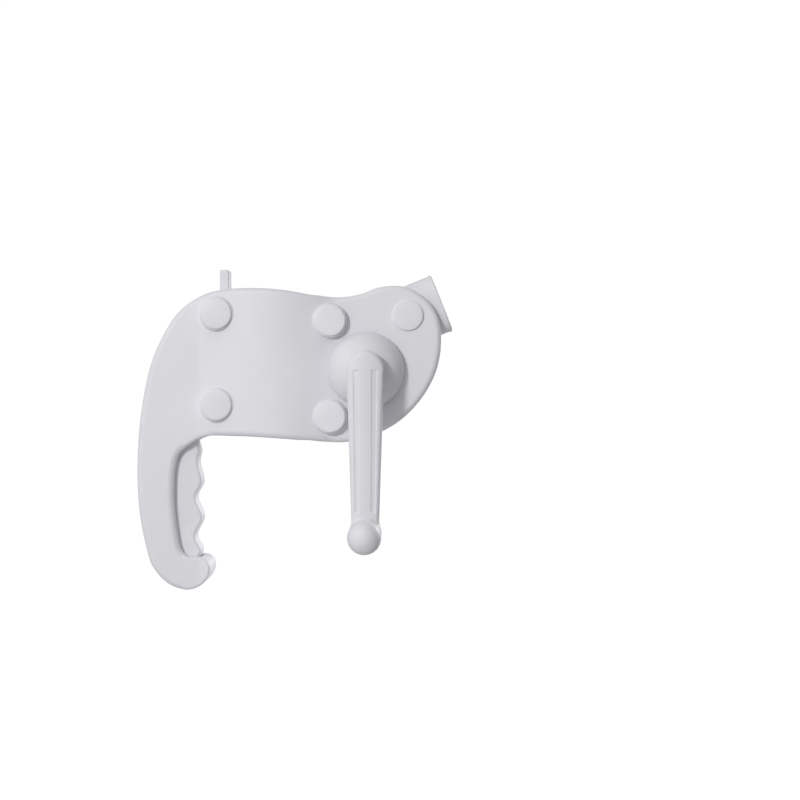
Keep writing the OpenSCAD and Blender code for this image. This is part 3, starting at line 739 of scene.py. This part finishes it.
# Passage through the middle: half size of its core in X and Y, and corner radius
PASSAGE_X, PASSAGE_Y, PASSAGE_R = 20.0, 9.0, 15.0
SWING_R, SWING_T, LEVER_SLOT_T = 22.9, 17.5, 10.85
GUIDE_POCKET = (-49, -5, -40.1), (-30, 12.1, 46.1)
TONGUE_POCKET = (-41.5, -5, 40), (-30, 9.2, 65)
SIDE_POCKET = (30, -9, -28.1), (36.6, 8.1, 20.1)
WALL_POCKET_X, WALL_POCKET_Y, WALL_POCKET_LEN = 12.1, (10, 25.5), 26.2
WALL_POCKET_FEET = (-47.1, 20.9)
LOCK_BORE_R, LOCK_BORE_X, LOCK_BORE_HALF = 4.5, -50.0, 6.0
BOLT_HOLE_R, PIVOT_HOLE_R, HEAD_R, BOLT_SEAT, PIVOT_SEAT = 3.2, 4.2, 7.9, 20.0, 18.2
HINGE_HOLE_R, HINGE_HOLE_T, SHAFT_HOLE_R = 2.55, 15.6, 7.95
SCREW_PILOT_R, SCREW_PILOT_T = 1.65, 13.0
SCREW_HOLE_R, SCREW_HEAD_R, SCREW_SEAT = 1.9, 3.7, 14.0
COVER_GROOVE_IN, COVER_GROOVE_OUT, COVER_GROOVE_FOOT = 11.45, 13.05, 19.5

housing_line = OutlineDistance(even(catmull(HOUSING_OUTLINE), 0.8, 1.6), step=1.0, pad=9.0)
lever_line = OutlineDistance(even(catmull(LEVER_OUTLINE), 0.6, 0.8), step=0.8, pad=6.0)


def thickness(x):
    """Half thickness across X, and the factor that turns a Y gap into a distance."""
    flat = np.where(x < 0, GRIP_T, LOBE_T)
    half = np.where(x < 0, GRIP_REACH, LOBE_REACH)
    u = x / half
    crown = CROWN_T - (CROWN_T - flat) * u * u
    overlap = np.maximum(CROWN_BLEND - np.abs(crown - flat), 0)
    total = np.maximum(crown, flat) + overlap ** 2 / (4 * CROWN_BLEND)
    slope = np.where(crown > flat - 1, 2 * (CROWN_T - flat) * u / half, 0.0)
    return total, np.sqrt(1 + slope ** 2)


def edge_radius(x, z):
    """Outer fillet: full round the sleeve, lobe and back of the grip, smaller by the lever."""
    lever = ease((x + 69) / 5) * ease((-47 - z) / 8) * ease((-43 - x) / 6)
    return EDGE_R - LEVER_EDGE_DROP * lever


def housing_hollow(x, a, z, line, at_pivot, at_hinge):
    inside = line + WALL
    grip = inter(inter(inside, x - GRIP_HOLLOW_X, 1.0), a - GRIP_HOLLOW_T, 1.0)
    lobe = inter(inter(inside, LOBE_HOLLOW_X - x, 1.0), a - LOBE_HOLLOW_T, 1.0)
    hollow = np.minimum(grip, lobe)
    # what stays solid within it
    for screw in screws:
        hollow = minus(hollow, from_axis(x, z, screw) - SCREW_POST_R)
    hollow = minus(hollow, inter(at_hinge - HINGE_POST_R, HINGE_POST_FOOT - a))
    hollow = minus(hollow, inter(at_pivot - PIVOT_POST_R, PIVOT_POST_FOOT - a))
    return minus(hollow, box_field(x, a, z, *BACK_BLOCK))


def half_field(x, a, z, front):
    """One housing half; a is the distance outwards from the parting plane Y = 0."""
    line = housing_line(x, z)
    at_pivot, at_hinge = from_axis(x, z, pivot), from_axis(x, z, hinge)
    half, steepness = thickness(x)
    body = inter(line, (a - half) / steepness, edge_radius(x, z))
    for bolt in bolts:
        flare = np.clip(BOSS_TOP - a, 0, 9) * BOSS_TAPER
        boss = inter(from_axis(x, z, bolt) - (BOSS_R + flare), a - BOSS_TOP, 0.3)
        body = union(body, inter(boss, BOSS_FOOT - a), 0.9)
    body = minus(body, housing_hollow(x, a, z, line, at_pivot, at_hinge), 0.3)
    over_x, over_y = np.abs(x) - PASSAGE_X, np.abs(a) - PASSAGE_Y
    passage = (np.hypot(np.maximum(over_x, 0), np.maximum(over_y, 0))
               + np.minimum(np.maximum(over_x, over_y), 0) - PASSAGE_R)
    body = minus(body, passage, 0.6)
    # room for the arm, with a post left round the pivot
    swing = np.minimum(at_pivot - SWING_R,
                       polygon_distance(x - pivot[0], z - pivot[1], SWING_OUTLINE))
    swing = inter(swing, a - SWING_T, 0.8)
    swing = minus(swing, inter(at_pivot - PIVOT_POST_R, PIVOT_FACE - a, 0.3), 0.3)
    body = minus(body, swing, 0.9)
    lever_slot = inter(polygon_distance(x, z, LEVER_SLOT_OUTLINE), a - LEVER_SLOT_T, 0.5)
    body = minus(body, lever_slot, 0.4)
    body = minus(body, box_field(x, a, z, *GUIDE_POCKET, 0.3), 0.4)
    body = minus(body, box_field(x, a, z, *TONGUE_POCKET, 0.5), 0.8)
    lock_bore = inter(np.hypot(a, z) - LOCK_BORE_R, np.abs(x - LOCK_BORE_X) - LOCK_BORE_HALF)
    body = minus(body, lock_bore, 0.4)
    for foot in WALL_POCKET_FEET:
        low = (-WALL_POCKET_X, WALL_POCKET_Y[0], foot)
        high = (WALL_POCKET_X, WALL_POCKET_Y[1], foot + WALL_POCKET_LEN)
        body = minus(body, box_field(x, a, z, low, high, 0.3), 0.3)
    body = minus(body, box_field(x, a, z, *SIDE_POCKET, 0.3), 0.3)
    # holes with wider seats outside
    seated = [(bolt, BOLT_HOLE_R, BOLT_SEAT) for bolt in bolts]
    for centre, radius, seat in seated + [(pivot, PIVOT_HOLE_R, PIVOT_SEAT)]:
        gap = from_axis(x, z, centre)
        body = minus(body, np.minimum(gap - radius, inter(gap - HEAD_R, seat - a)), 0.3)
    body = minus(body, inter(at_hinge - HINGE_HOLE_R, a - HINGE_HOLE_T), 0.2)
    at_shaft = from_axis(x, z, shaft)
    body = minus(body, at_shaft - SHAFT_HOLE_R, 0.4)
    for screw in screws:
        gap = from_axis(x, z, screw)
        if front:
            body = minus(body, inter(gap - SCREW_PILOT_R, a - SCREW_PILOT_T), 0.2)
        else:
            hole = np.minimum(gap - SCREW_HOLE_R, inter(gap - SCREW_HEAD_R, SCREW_SEAT - a))
            body = minus(body, hole, 0.5)
    if not front:
        groove = inter(at_shaft - COVER_GROOVE_OUT, COVER_GROOVE_IN - at_shaft)
        body = minus(body, inter(groove, COVER_GROOVE_FOOT - a), 0.3)
    return inter(body, 0.02 - a, 0.5)


def housing_half(side, front, y_range, fine):
    def field(x, y, z):
        return half_field(x, -y if front else y, z, front)
    low = [shell_lo[0], y_range[0], shell_lo[2]]
    high = [shell_hi[0], y_range[1], shell_hi[2]]
    obj = field_piece("housing_" + side, field, low, high, grid_step(fine), keep=0.55)
    place(obj, "root", white, "white_plastic", side + "_shell")


shell_lo, shell_hi = limits("front_shell")
housing_half("front", True, (-CROWN_T, 0.0), fine=0.72)
housing_half("rear", False, (0.0, CROWN_T), fine=0.8)

# ---------- caps over the bolts and the pivot ----------
cap_r = limits("front_caps")[1][0] - pivot[0]


def cap_profile(seat):
    """Skirt, rim and shallow dome; the heights are added to the seat the cap lies on."""
    steps = [(6.7, 1.0), (6.7, -1.9), (7.75, -1.9), (7.75, -0.05), (cap_r - 0.6, 0.02),
             (cap_r - 0.14, 0.05), (cap_r, 0.18)]
    profile = [(radius, seat + height) for radius, height in steps]
    profile += arc((cap_r - 0.9, seat + 0.95), 0.9, 2, 74)
    return profile + domed(profile[-1], seat + 2.2) + [(0.0, seat + 0.9)]


for side, direction in (("front", -1), ("rear", 1)):
    seats = [(bolt, BOSS_TOP) for bolt in bolts] + [(pivot, LOBE_T)]
    parts = [(centre, cap_profile(seat)) for centre, seat in seats]
    caps = lathe("caps_" + side, parts, segments=96, sharp=38, direction=direction)
    place(caps, "root", white_cap, "white_plastic", side + "_caps")

# ---------- squeeze lever ----------
LEVER_T, LEVER_PIN_R = 10.5, 2.56
FORK_GAP = (-90, -4.7, -5.2), (-40, 4.7, 40)


def lever_field(x, y, z):
    line = np.minimum(lever_line(x, z), 50)
    line = union(line, polygon_distance(x, z, FORK_OUTLINE), 0.6)
    body = inter(line, np.abs(y) - LEVER_T, 2.3)
    body = minus(body, box_field(x, y, z, *FORK_GAP, 0.5), 0.5)
    return minus(body, from_axis(x, z, hinge) - LEVER_PIN_R, 0.4)


lever = field_piece("finger_lever", lever_field, *limits("squeeze_lever"), grid_step(0.62), 0.55)
place(lever, "lever", white_lever, "white_plastic", "squeeze_lever")

# ---------- guide block with its tongue ----------
guide_lo, guide_hi = limits("guide_block")
GUIDE_BLOCK = (-48.9, -12, -40), (-34.6, 12, 46)
TONGUE = (-41.4, -9.1, 30), (-34.6, 9.1, guide_hi[2])
TONGUE_HOLLOW = (-39.7, -7.3, 52), (-36.3, 7.3, 90)
CORE_X, CORE_Y = (-60, -44.5), (2.0, 9.5)
CORE_Z = ((-34, -24), (-21, -9), (9, 21), (24, 28))
GUIDE_BORE_R = 4.05


def guide_field(x, y, z):
    body = union(box_field(x, y, z, *GUIDE_BLOCK, 0.6), box_field(x, y, z, *TONGUE, 0.9), 0.5)
    for bolt in bolts:
        if bolt[0] < 0:
            body = minus(body, from_axis(x, z, bolt) - BOLT_HOLE_R, 0.3)
    # shallow core-outs on the face towards the grip lighten the block
    for foot, top in CORE_Z:
        for side in (-1, 1):
            core = box_field(x, y * side, z, (CORE_X[0], CORE_Y[0], foot),
                             (CORE_X[1], CORE_Y[1], top), 0.6)
            body = minus(body, core, 0.3)
    # hollow tongue, open at the top
    body = minus(body, box_field(x, y, z, *TONGUE_HOLLOW, 0.5), 0.4)
    return minus(body, np.hypot(y, z) - GUIDE_BORE_R, 0.3)


guide = field_piece("mast_guide", guide_field, guide_lo, guide_hi, grid_step(0.6), keep=0.5)
place(guide, "root", white, "white_plastic", "guide_block")

# ---------- arm socket ----------
# Half height, half thickness and mouth distance from the pivot
SOCKET_H, SOCKET_T, SOCKET_MOUTH = 21.9, 14.85, 26.7
SOCKET_WALL, SOCKET_FLOOR, SOCKET_BORE_R = 1.7, -9, 6.05
BEAD_R, BEAD_INSET, BEAD_BACK = 0.75, 0.55, 1.3
SOCKET_SLOT = (-30, -4.3, -17), (-4, 4.3, 14)
SCREW_ALONG, SOCKET_SCREW_R = 19, 2.2


def super_oval(y, z, half_y, half_z, power=2.6):
    u, w = np.abs(y) / half_y + 1e-9, np.abs(z) / half_z + 1e-9
    total = u ** power + w ** power
    level = total ** (1 / power)
    scale = total ** (1 / power - 1)
    slope_y = scale * u ** (power - 1) / half_y
    slope_z = scale * w ** (power - 1) / half_z
    return (level - 1) / np.sqrt(slope_y * slope_y + slope_z * slope_z + 1e-9)


def socket_field(x, y, z):
    dx, dz = x - pivot[0], z - pivot[1]
    along, across = dx * arm_cos + dz * arm_sin, -dx * arm_sin + dz * arm_cos
    oval = super_oval(y, across, SOCKET_T, SOCKET_H)
    side = np.where(along < 0, np.hypot(along, across) - SOCKET_H, np.abs(across) - SOCKET_H)
    body = inter(inter(np.maximum(oval, -8), side, 1.2), along - SOCKET_MOUTH, 0.75)
    inner = super_oval(y, across, SOCKET_T - SOCKET_WALL, SOCKET_H - SOCKET_WALL)
    hollow = inter(inter(inner, SOCKET_FLOOR - along, 0.8), side + SOCKET_WALL, 0.5)
    body = minus(body, hollow, 0.6)
    # a slim rounded bead runs round the mouth
    bead = np.hypot(np.abs(oval + BEAD_INSET), along - (SOCKET_MOUTH - BEAD_BACK)) - BEAD_R
    body = union(body, np.where(along > 15, bead, 9.0), 0.35)
    body = minus(body, box_field(along, y, across, *SOCKET_SLOT, 1.0), 0.8)
    # screw hole through the underside only
    hole = inter(np.hypot(along - SCREW_ALONG, y) - SOCKET_SCREW_R, across)
    body = minus(body, hole, 0.3)
    body = minus(body, np.hypot(dx, dz) - SOCKET_BORE_R, 0.3)
    # never thicker at the pivot than the bushes allow
    return inter(body, np.abs(y) - SOCKET_T)


collar = field_piece("arm_collar", socket_field, *limits("arm_socket"), grid_step(0.6), 0.55)
place(collar, "arm", white, "white_plastic", "arm_socket")

# ---------- crank dome ----------
# Distances run towards -Y
HUB_FOOT, HUB_FLOOR, HUB_TOP = 22.2, 39.4, 43.98
HUB_BORE_R, HUB_CORE_R, HUB_WALL = 5.02, 9.4, 2.6
HUB_INNER_H, HUB_OUTER_H = 20.9, 23.5   # heights of the two ellipses, were they whole
hub_r = limits("crank_hub")[1][0] - shaft[0]


def hub_profile():
    inner_r = hub_r - HUB_WALL
    profile = [(HUB_BORE_R, HUB_FOOT), (HUB_CORE_R, HUB_FOOT), (HUB_CORE_R, HUB_FLOOR),
               (13.0, HUB_FLOOR)]
    for k in range(1, 20):
        height = 17.2 - 17.2 * k / 20
        radius = inner_r * math.sqrt(1 - (height / HUB_INNER_H) ** 2)
        if radius > 13.2:
            profile.append((radius, HUB_FOOT + height))
    profile += [(inner_r, HUB_FOOT + 0.1), (hub_r - 2.3, HUB_FOOT), (hub_r - 0.7, HUB_FOOT)]
    profile += arc((hub_r - 0.7, HUB_FOOT + 0.7), 0.7, -80, -10, 5)
    profile += [(hub_r * math.sqrt(1 - (height / HUB_OUTER_H) ** 2), HUB_FOOT + height)
                for height in np.linspace(1.2, 21.78, 44)]
    return profile + [(HUB_BORE_R, HUB_TOP)]


place(lathe("crank_dome", [(shaft, hub_profile())], segments=192, sharp=40),
      "crank", white_crank, "white_plastic", "crank_hub")

# ---------- crank bar ----------
# Depths run towards -Y, heights up from the knob axis
BAR_BACK, BAR_FRONT, BAR_CROWN = 44.0, 56.0, 0.012
HEAD_END_R, FOOT_END_R, TAPER_FOOT = 13.3, 11.0, 11.0
PAD_R, PAD_TOP, PAD_TAPER = 10.6, 57.8, 0.03
SPINDLE_R, SPINDLE_SEAT_R, SPINDLE_SEAT = 3.02, 5.9, 48.2
BAR_BORE_R, BAR_BORE_T = 5.02, 52.1
FLUTE_DEPTH = 0.48
crank_len = shaft[1] - knob[1]
BAR_OUTLINE = [(-13.2, crank_len), (13.2, crank_len), (9.8, TAPER_FOOT), (9.5, -4.5),
               (-9.5, -4.5), (-9.8, TAPER_FOOT)]


def flutes(across, height):
    """Depth of two soft flutes, narrowing towards the knob, with square tops."""
    u = np.clip((height - TAPER_FOOT) / (crank_len - TAPER_FOOT), 0, 1)
    depth = 0.0
    for side in (-1, 1):
        middle, half = side * (5.5 + 0.95 * u), 1.45 + 0.45 * u
        section = ease((half + 0.45 - np.abs(across - middle)) / 0.95)
        depth = depth + (FLUTE_DEPTH * section * ease((crank_len - 0.3 - height) / 1.0)
                         * ease((height - TAPER_FOOT - 2.5) / 2.4))
    return depth


def crank_field(x, y, z):
    a = -y
    across, height = x - shaft[0], z - knob[1]
    at_shaft, at_knob = from_axis(x, z, shaft), from_axis(x, z, knob)
    # tapered flat bar with a round head and a round foot
    line = union(polygon_distance(across, height, BAR_OUTLINE), at_shaft - HEAD_END_R, 0.1)
    line = union(line, at_knob - FOOT_END_R, 2.0)
    # the front is crowned across the bar
    front = a - (BAR_FRONT - BAR_CROWN * across * across - flutes(across, height))
    body = inter(line, np.maximum(front, BAR_BACK - a),
                 2.5 + 1.3 * ease((height - crank_len + 2) / 9))
    body = np.where(a > BAR_BACK + 6, body, inter(line, BAR_BACK - a, 0.8))
    # pad under the knob
    pad = inter(at_knob - (PAD_R + (PAD_TOP - a) * PAD_TAPER), a - PAD_TOP, 0.8)
    body = union(body, inter(pad, BAR_BACK + 0.5 - a), 1.2)
    hole = np.minimum(inter(at_knob - SPINDLE_R, -a),
                      inter(at_knob - SPINDLE_SEAT_R, a - SPINDLE_SEAT))
    body = minus(body, hole, 0.3)
    return minus(body, inter(at_shaft - BAR_BORE_R, a - BAR_BORE_T), 0.2)


bar = field_piece("crank_bar", crank_field, *limits("crank_arm"), grid_step(0.55), keep=0.6)
place(bar, "crank", white_crank, "white_plastic", "crank_arm")

# ---------- crank knob: foot ring, waisted neck, ball ----------
BALL_R, KNOB_BORE_R, CLIP_GROOVE_R = 11.6, 3.06, 4.3
knob_lo, knob_hi = limits("crank_knob")


def knob_profile():
    foot = -knob_hi[1]
    ball = -knob_lo[1] - BALL_R
    profile = [(KNOB_BORE_R, foot), (9.3, foot)]
    profile += arc((9.4, foot + 0.8), 0.8, -80, 0, 5) + arc((9.4, foot + 1.9), 0.8, 0, 60, 5)
    profile += [(9.3, foot + 3.3), (8.75, foot + 3.8)]
    for k in range(1, 15):
        u = k / 15
        profile.append((7.05 + 1.75 * (1 - u) ** 2.4 + 1.15 * u * u,
                        foot + 3.8 + (ball - 8.0 - foot - 3.8) * u))
    for angle in np.linspace(-42, 90, 40)[:-1]:
        profile.append((BALL_R * math.cos(math.radians(angle)),
                        ball + BALL_R * math.sin(math.radians(angle))))
    profile += [(0.0, ball + BALL_R), (0.0, ball + 4.9), (KNOB_BORE_R, ball + 4.8)]
    # groove for the ring that keeps the knob on its spindle
    return profile + [(KNOB_BORE_R, foot + 26.2), (CLIP_GROOVE_R, foot + 26.2),
                      (CLIP_GROOVE_R, foot + 25.0), (KNOB_BORE_R, foot + 25.0)]


place(lathe("crank_grip_knob", [(knob, knob_profile())], segments=128, sharp=45),
      "knob", white_knob, "white_plastic", "crank_knob")

# ---------- rear cover over the shaft end ----------
# (radius, distance towards +Y)
cover_profile = [(0, 25.6), (9.5, 25.6), (11.5, 24.0), (11.5, 19.6), (13.0, 19.6), (13.0, 21.0),
                 (12.72, 21.15), (12.72, 21.45), (13.0, 21.6)]
cover_profile += arc((10.4, 24.6), 2.6, 5, 80, 10)
cover_profile += domed(cover_profile[-1], 27.6)
place(lathe("rear_cover", [(shaft, cover_profile)], segments=128, sharp=38, direction=1),
      "root", white_cap, "white_plastic", "rear_hub_cap")

# ---------- cord ----------
CORD_R, COIL_OUT, DRUM_IN, PULLEY_R = 1.25, 13.2, 7.3, 7.2
COIL_TURNS, COIL_STEPS, COIL_START, COIL_PITCH = 5, 48, -8.72, 2.6068
COIL_CORD_R, COIL_PATH_R, CORE_R = 1.32, COIL_OUT - 1.34, COIL_OUT - 1.9
CORE_ENDS = (-3.7, 10.1)   # towards -Y
STRAND_STEP, STRAND_LAY, STRAND_DEPTH = 0.22, 5.2, 0.16


def strand(path, radius, segments):
    """A round cord along a path, its surface a plait of four strands each way."""
    path = np.array(path, float)
    gaps = np.diff(path, axis=0).T
    length = np.concatenate([[0], np.cumsum(np.hypot(np.hypot(*gaps[:2]), gaps[2]))])
    at = np.linspace(0, length[-1], int(length[-1] / STRAND_STEP))
    line = np.stack([np.interp(at, length, path[:, i]) for i in range(3)], 1)
    angles = np.linspace(0, 2 * math.pi, segments, endpoint=False)
    angle, along = np.meshgrid(angles, at)
    left = np.abs(np.sin(2 * angle + 2 * math.pi * along / STRAND_LAY))
    right = np.abs(np.sin(2 * angle - 2 * math.pi * along / STRAND_LAY))
    over = np.sin(4 * angle) * np.sin(2 * math.pi * 2 * along / STRAND_LAY)
    height = np.where(over > 0, left, right) ** 0.6
    radii = radius - STRAND_DEPTH + STRAND_DEPTH * height
    return sweep(line, (0.0, 1.0, 0.0), radii, segments)


def about(centre, radius, angle):
    return np.array([centre[0] + radius * math.cos(angle), 0.0,
                     centre[1] + radius * math.sin(angle)])


def cord_run():
    """From the drum over the pulley and a little way along the arm."""
    drum_r, pulley_r = COIL_OUT + CORD_R + 0.1, PULLEY_R + CORD_R + 0.08
    dx, dz = pivot[0] - shaft[0], pivot[1] - shaft[1]
    touch = math.atan2(dz, dx) + math.pi / 2 + math.asin((pulley_r - drum_r) / math.hypot(dx, dz))
    leave = ARM_ANGLE + math.pi / 2
    drum, pulley = about(shaft, drum_r, touch), about(pivot, pulley_r, touch)
    top = about(pivot, pulley_r, leave)
    arm_way = np.array([arm_cos, 0, arm_sin])
    path = [drum + (pulley - drum) * (0.02 + 0.98 * k / 12) for k in range(13)]
    path += [about(pivot, pulley_r, touch + (leave - touch) * k / 12) for k in range(1, 13)]
    path += [top + arm_way * 3.65 * k for k in range(1, 7)]
    obj = poly_object("cord_run", *strand(path, CORD_R - 0.02, segments=28))
    obj.data.materials.append(cord)
    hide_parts("rope_run")
    # the cord leaves the pulley at its top and follows the arm from there
    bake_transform(obj)


def cord_coil():
    """Coil wound on a core, both turning with the crank."""
    path = []
    for k in range(COIL_TURNS * COIL_STEPS + 1):
        t = 2 * math.pi * k / COIL_STEPS
        path.append((shaft[0] + COIL_PATH_R * math.cos(t),
                     COIL_START + COIL_PITCH * k / COIL_STEPS,
                     shaft[1] + COIL_PATH_R * math.sin(t)))
    low, high = CORE_ENDS
    profile = round_corners([(DRUM_IN, low), (DRUM_IN, high), (CORE_R, high), (CORE_R, low)], 0.3)
    parts = [strand(path, COIL_CORD_R, segments=20), turn(shaft, profile, segments=96)]
    place(poly_object("cord_coil", *join(parts)), "crank", cord, "cord", "rope_coil")


cord_run()
cord_coil()

# ---------- lock spring, round wire, closed ends ----------
SPRING_R, WIRE_R, SPRING_TURNS, LOCK_TRAVEL = 4.3, 0.45, 6, 7.6
spring_lo, spring_hi = limits("lock_spring")
spring_start, spring_len = spring_lo[0], spring_hi[0] - spring_lo[0]
u = np.linspace(0, 1, SPRING_TURNS * 40 + 1)
rise = np.interp(u, [0, 0.18, 0.82, 1], [0, 0.08, 0.92, 1])
spring_path = np.stack([
    spring_start + WIRE_R + 0.02 + (spring_len - 2 * WIRE_R - 0.04) * rise,
    SPRING_R * np.cos(2 * math.pi * SPRING_TURNS * u),
    SPRING_R * np.sin(2 * math.pi * SPRING_TURNS * u)], 1)
lock_spring = poly_object("lock_coil_spring",
                          *sweep(spring_path, (1.0, 0.0, 0.0), WIRE_R, segments=12))
place(lock_spring, "root", spring_steel, "spring_steel", "lock_spring")
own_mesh(lock_spring)

# ---------- carried-over CAD pieces ----------
CARRIED = {
    "lever_pin": zinc, "glide_pads": acetal, "side_glide_pad": acetal, "lock_bolt": zinc,
    "bolt_clip": acetal, "housing_bolts": zinc, "bolt_washers": zinc, "housing_nuts": zinc,
    "shell_screws": zinc, "arm_pivot_bolt": zinc, "arm_pivot_nut": zinc, "pivot_bushes": acetal,
    "pulley_spacers": nylon, "rope_pulley": nylon, "crank_shaft": zinc, "shaft_bushes": acetal,
    "spool": nylon, "spool_pin": zinc, "brake_spring": spring_steel, "drive_pin": zinc,
    "arm_screws": zinc, "knob_spindle": zinc, "knob_nut": zinc, "knob_clip": spring_steel,
    "retaining_clip": spring_steel}
for node, material in CARRIED.items():
    obj = cad[node]
    obj.data.materials.clear()
    obj.data.materials.append(material)
    if node == "brake_spring":
        continue
    obj.modifiers.new("weld", "WELD").merge_threshold = 0.00001
    bevel = obj.modifiers.new("edge", "BEVEL")
    bevel.width = 0.0003
    bevel.segments = 2
    bevel.limit_method = "ANGLE"
    bevel.angle_limit = math.radians(40)
    bevel.use_clamp_overlap = True

# ---------- floor ----------
FLOOR_Z, FLOOR_SIDES = -0.34, 96
FLOOR_RINGS = [0.5, 1.0, 2.0, 4.0, 9.0]


def floor_paper():
    """Matt paper, brighter to the camera, that fades into the white surround."""
    mat = Material("floor_paper")
    fibres = mat.noise(scale=220.0)
    colour = mat.mix(mat.ramp(fibres, (0.3, 0.0), (0.7, 1.0)),
                     (0.56, 0.56, 0.56), (0.60, 0.60, 0.60))
    camera_ray = mat.node("ShaderNodeLightPath").outputs["Is Camera Ray"]
    mat.finish(colour, 0.9, mat.bump(fibres, strength=0.05, distance=0.0005),
               {"Emission Color": (1, 1, 1, 1),
                "Emission Strength": mat.math("MULTIPLY", camera_ray, 0.70)})
    far = mat.node("ShaderNodeVectorMath", {0: mat.place}, operation="LENGTH")
    fade = map_range(mat.tree, far.outputs["Value"], (0.50, 1.25), curve="SMOOTHERSTEP")
    clear = mat.node("ShaderNodeBsdfTransparent")
    blend = mat.node("ShaderNodeMixShader", {"Fac": fade, 1: mat.shader.outputs["BSDF"],
                                             2: clear.outputs["BSDF"]})
    set_inputs(mat.tree, mat.output, {"Surface": blend.outputs["Shader"]})
    return mat.data


def floor():
    count = FLOOR_SIDES
    verts = [(0.0, 0.0, FLOOR_Z)]
    for radius in FLOOR_RINGS:
        verts += [(radius * math.cos(2 * math.pi * k / count),
                   radius * math.sin(2 * math.pi * k / count), FLOOR_Z) for k in range(count)]
    faces = [(0, 1 + k, 1 + (k + 1) % count) for k in range(count)]
    for i in range(len(FLOOR_RINGS) - 1):
        a, b = 1 + i * count, 1 + (i + 1) * count
        faces += [(a + k, b + k, b + (k + 1) % count, a + (k + 1) % count) for k in range(count)]
    mesh = bpy.data.meshes.new("floor")
    mesh.from_pydata(verts, [], faces)
    obj = bpy.data.objects.new("floor", mesh)
    collection.objects.link(obj)
    mesh.materials.append(floor_paper())


floor()


# ---------- world ----------
def studio_world():
    world = bpy.data.worlds.new("studio")
    scene.world = world
    world.use_nodes = True
    tree = world.node_tree
    tree.nodes.clear()
    aim = add_node(tree, "ShaderNodeTexCoord").outputs["Generated"]
    way = add_node(tree, "ShaderNodeSeparateXYZ", {"Vector": aim}).outputs
    # dim studio in front, white backdrop behind the object
    backdrop = map_range(tree, way["Y"], (0.0, 0.6), (0.0, 0.47))
    # less light from below than from above
    height = map_range(tree, way["Z"], (-0.5, 0.5), (0.74, 1.10))
    # the studio itself is brighter at the left (-X) than at the right
    side = map_range(tree, way["X"], (-0.7, 0.7), (0.48, 0.20))
    room = add_node(tree, "ShaderNodeMath", {0: backdrop, 1: side}, operation="MAXIMUM")
    strength = add_node(tree, "ShaderNodeMath", {0: room.outputs["Value"], 1: height},
                        operation="MULTIPLY").outputs["Value"]
    lit = add_node(tree, "ShaderNodeBackground", {"Color": (1, 1, 1, 1), "Strength": strength})
    seen = add_node(tree, "ShaderNodeBackground", {"Color": (1, 1, 1, 1), "Strength": 1.02})
    camera_ray = add_node(tree, "ShaderNodeLightPath").outputs["Is Camera Ray"]
    blend = add_node(tree, "ShaderNodeMixShader", {"Fac": camera_ray,
                                                   1: lit.outputs["Background"],
                                                   2: seen.outputs["Background"]})
    add_node(tree, "ShaderNodeOutputWorld", {"Surface": blend.outputs["Shader"]})


studio_world()


# ---------- lights and camera ----------
def area(name, at, size, energy, aim=(0.0, 0.0, -0.05), tint=(1, 1, 1)):
    light = bpy.data.lights.new(name, "AREA")
    light.shape = "RECTANGLE"
    light.size, light.size_y = size
    light.energy = energy
    light.color = tint
    obj = bpy.data.objects.new(name, light)
    obj.location = at
    obj.rotation_euler = (Vector(aim) - Vector(at)).to_track_quat("-Z", "Y").to_euler()
    collection.objects.link(obj)
    return obj


area("key", at=(-0.61, -1.40, 0.46), size=(0.16, 0.16), energy=10.6, aim=(0.01, 0.0, -0.05),
     tint=(1.0, 0.995, 0.99))
area("top", at=(0.05, -1.00, 1.15), size=(1.0, 0.7), energy=2.4)
area("back", at=(1.05, 1.16, 0.38), size=(0.5, 0.5), energy=13.5)
# light that a white mast would throw back on the lever
bounce = area("bounce", at=(-0.036, 0.0, -0.13), size=(0.044, 0.13), energy=0.005,
              aim=(-0.1, 0.0, -0.13))
bounce.visible_camera = False

lens = bpy.data.cameras.new("camera")
lens.lens = 71.87
lens.sensor_width = 36.0
lens.clip_start, lens.clip_end = 0.01, 50.0
camera = bpy.data.objects.new("camera", lens)
camera.location = (0.0896, -1.169, -0.0266)
camera.rotation_euler = (math.pi / 2, 0, 0)
collection.objects.link(camera)
scene.camera = camera
scene.view_settings.view_transform = "Standard"
scene.view_settings.look = "None"
scene.view_settings.exposure = 0.0
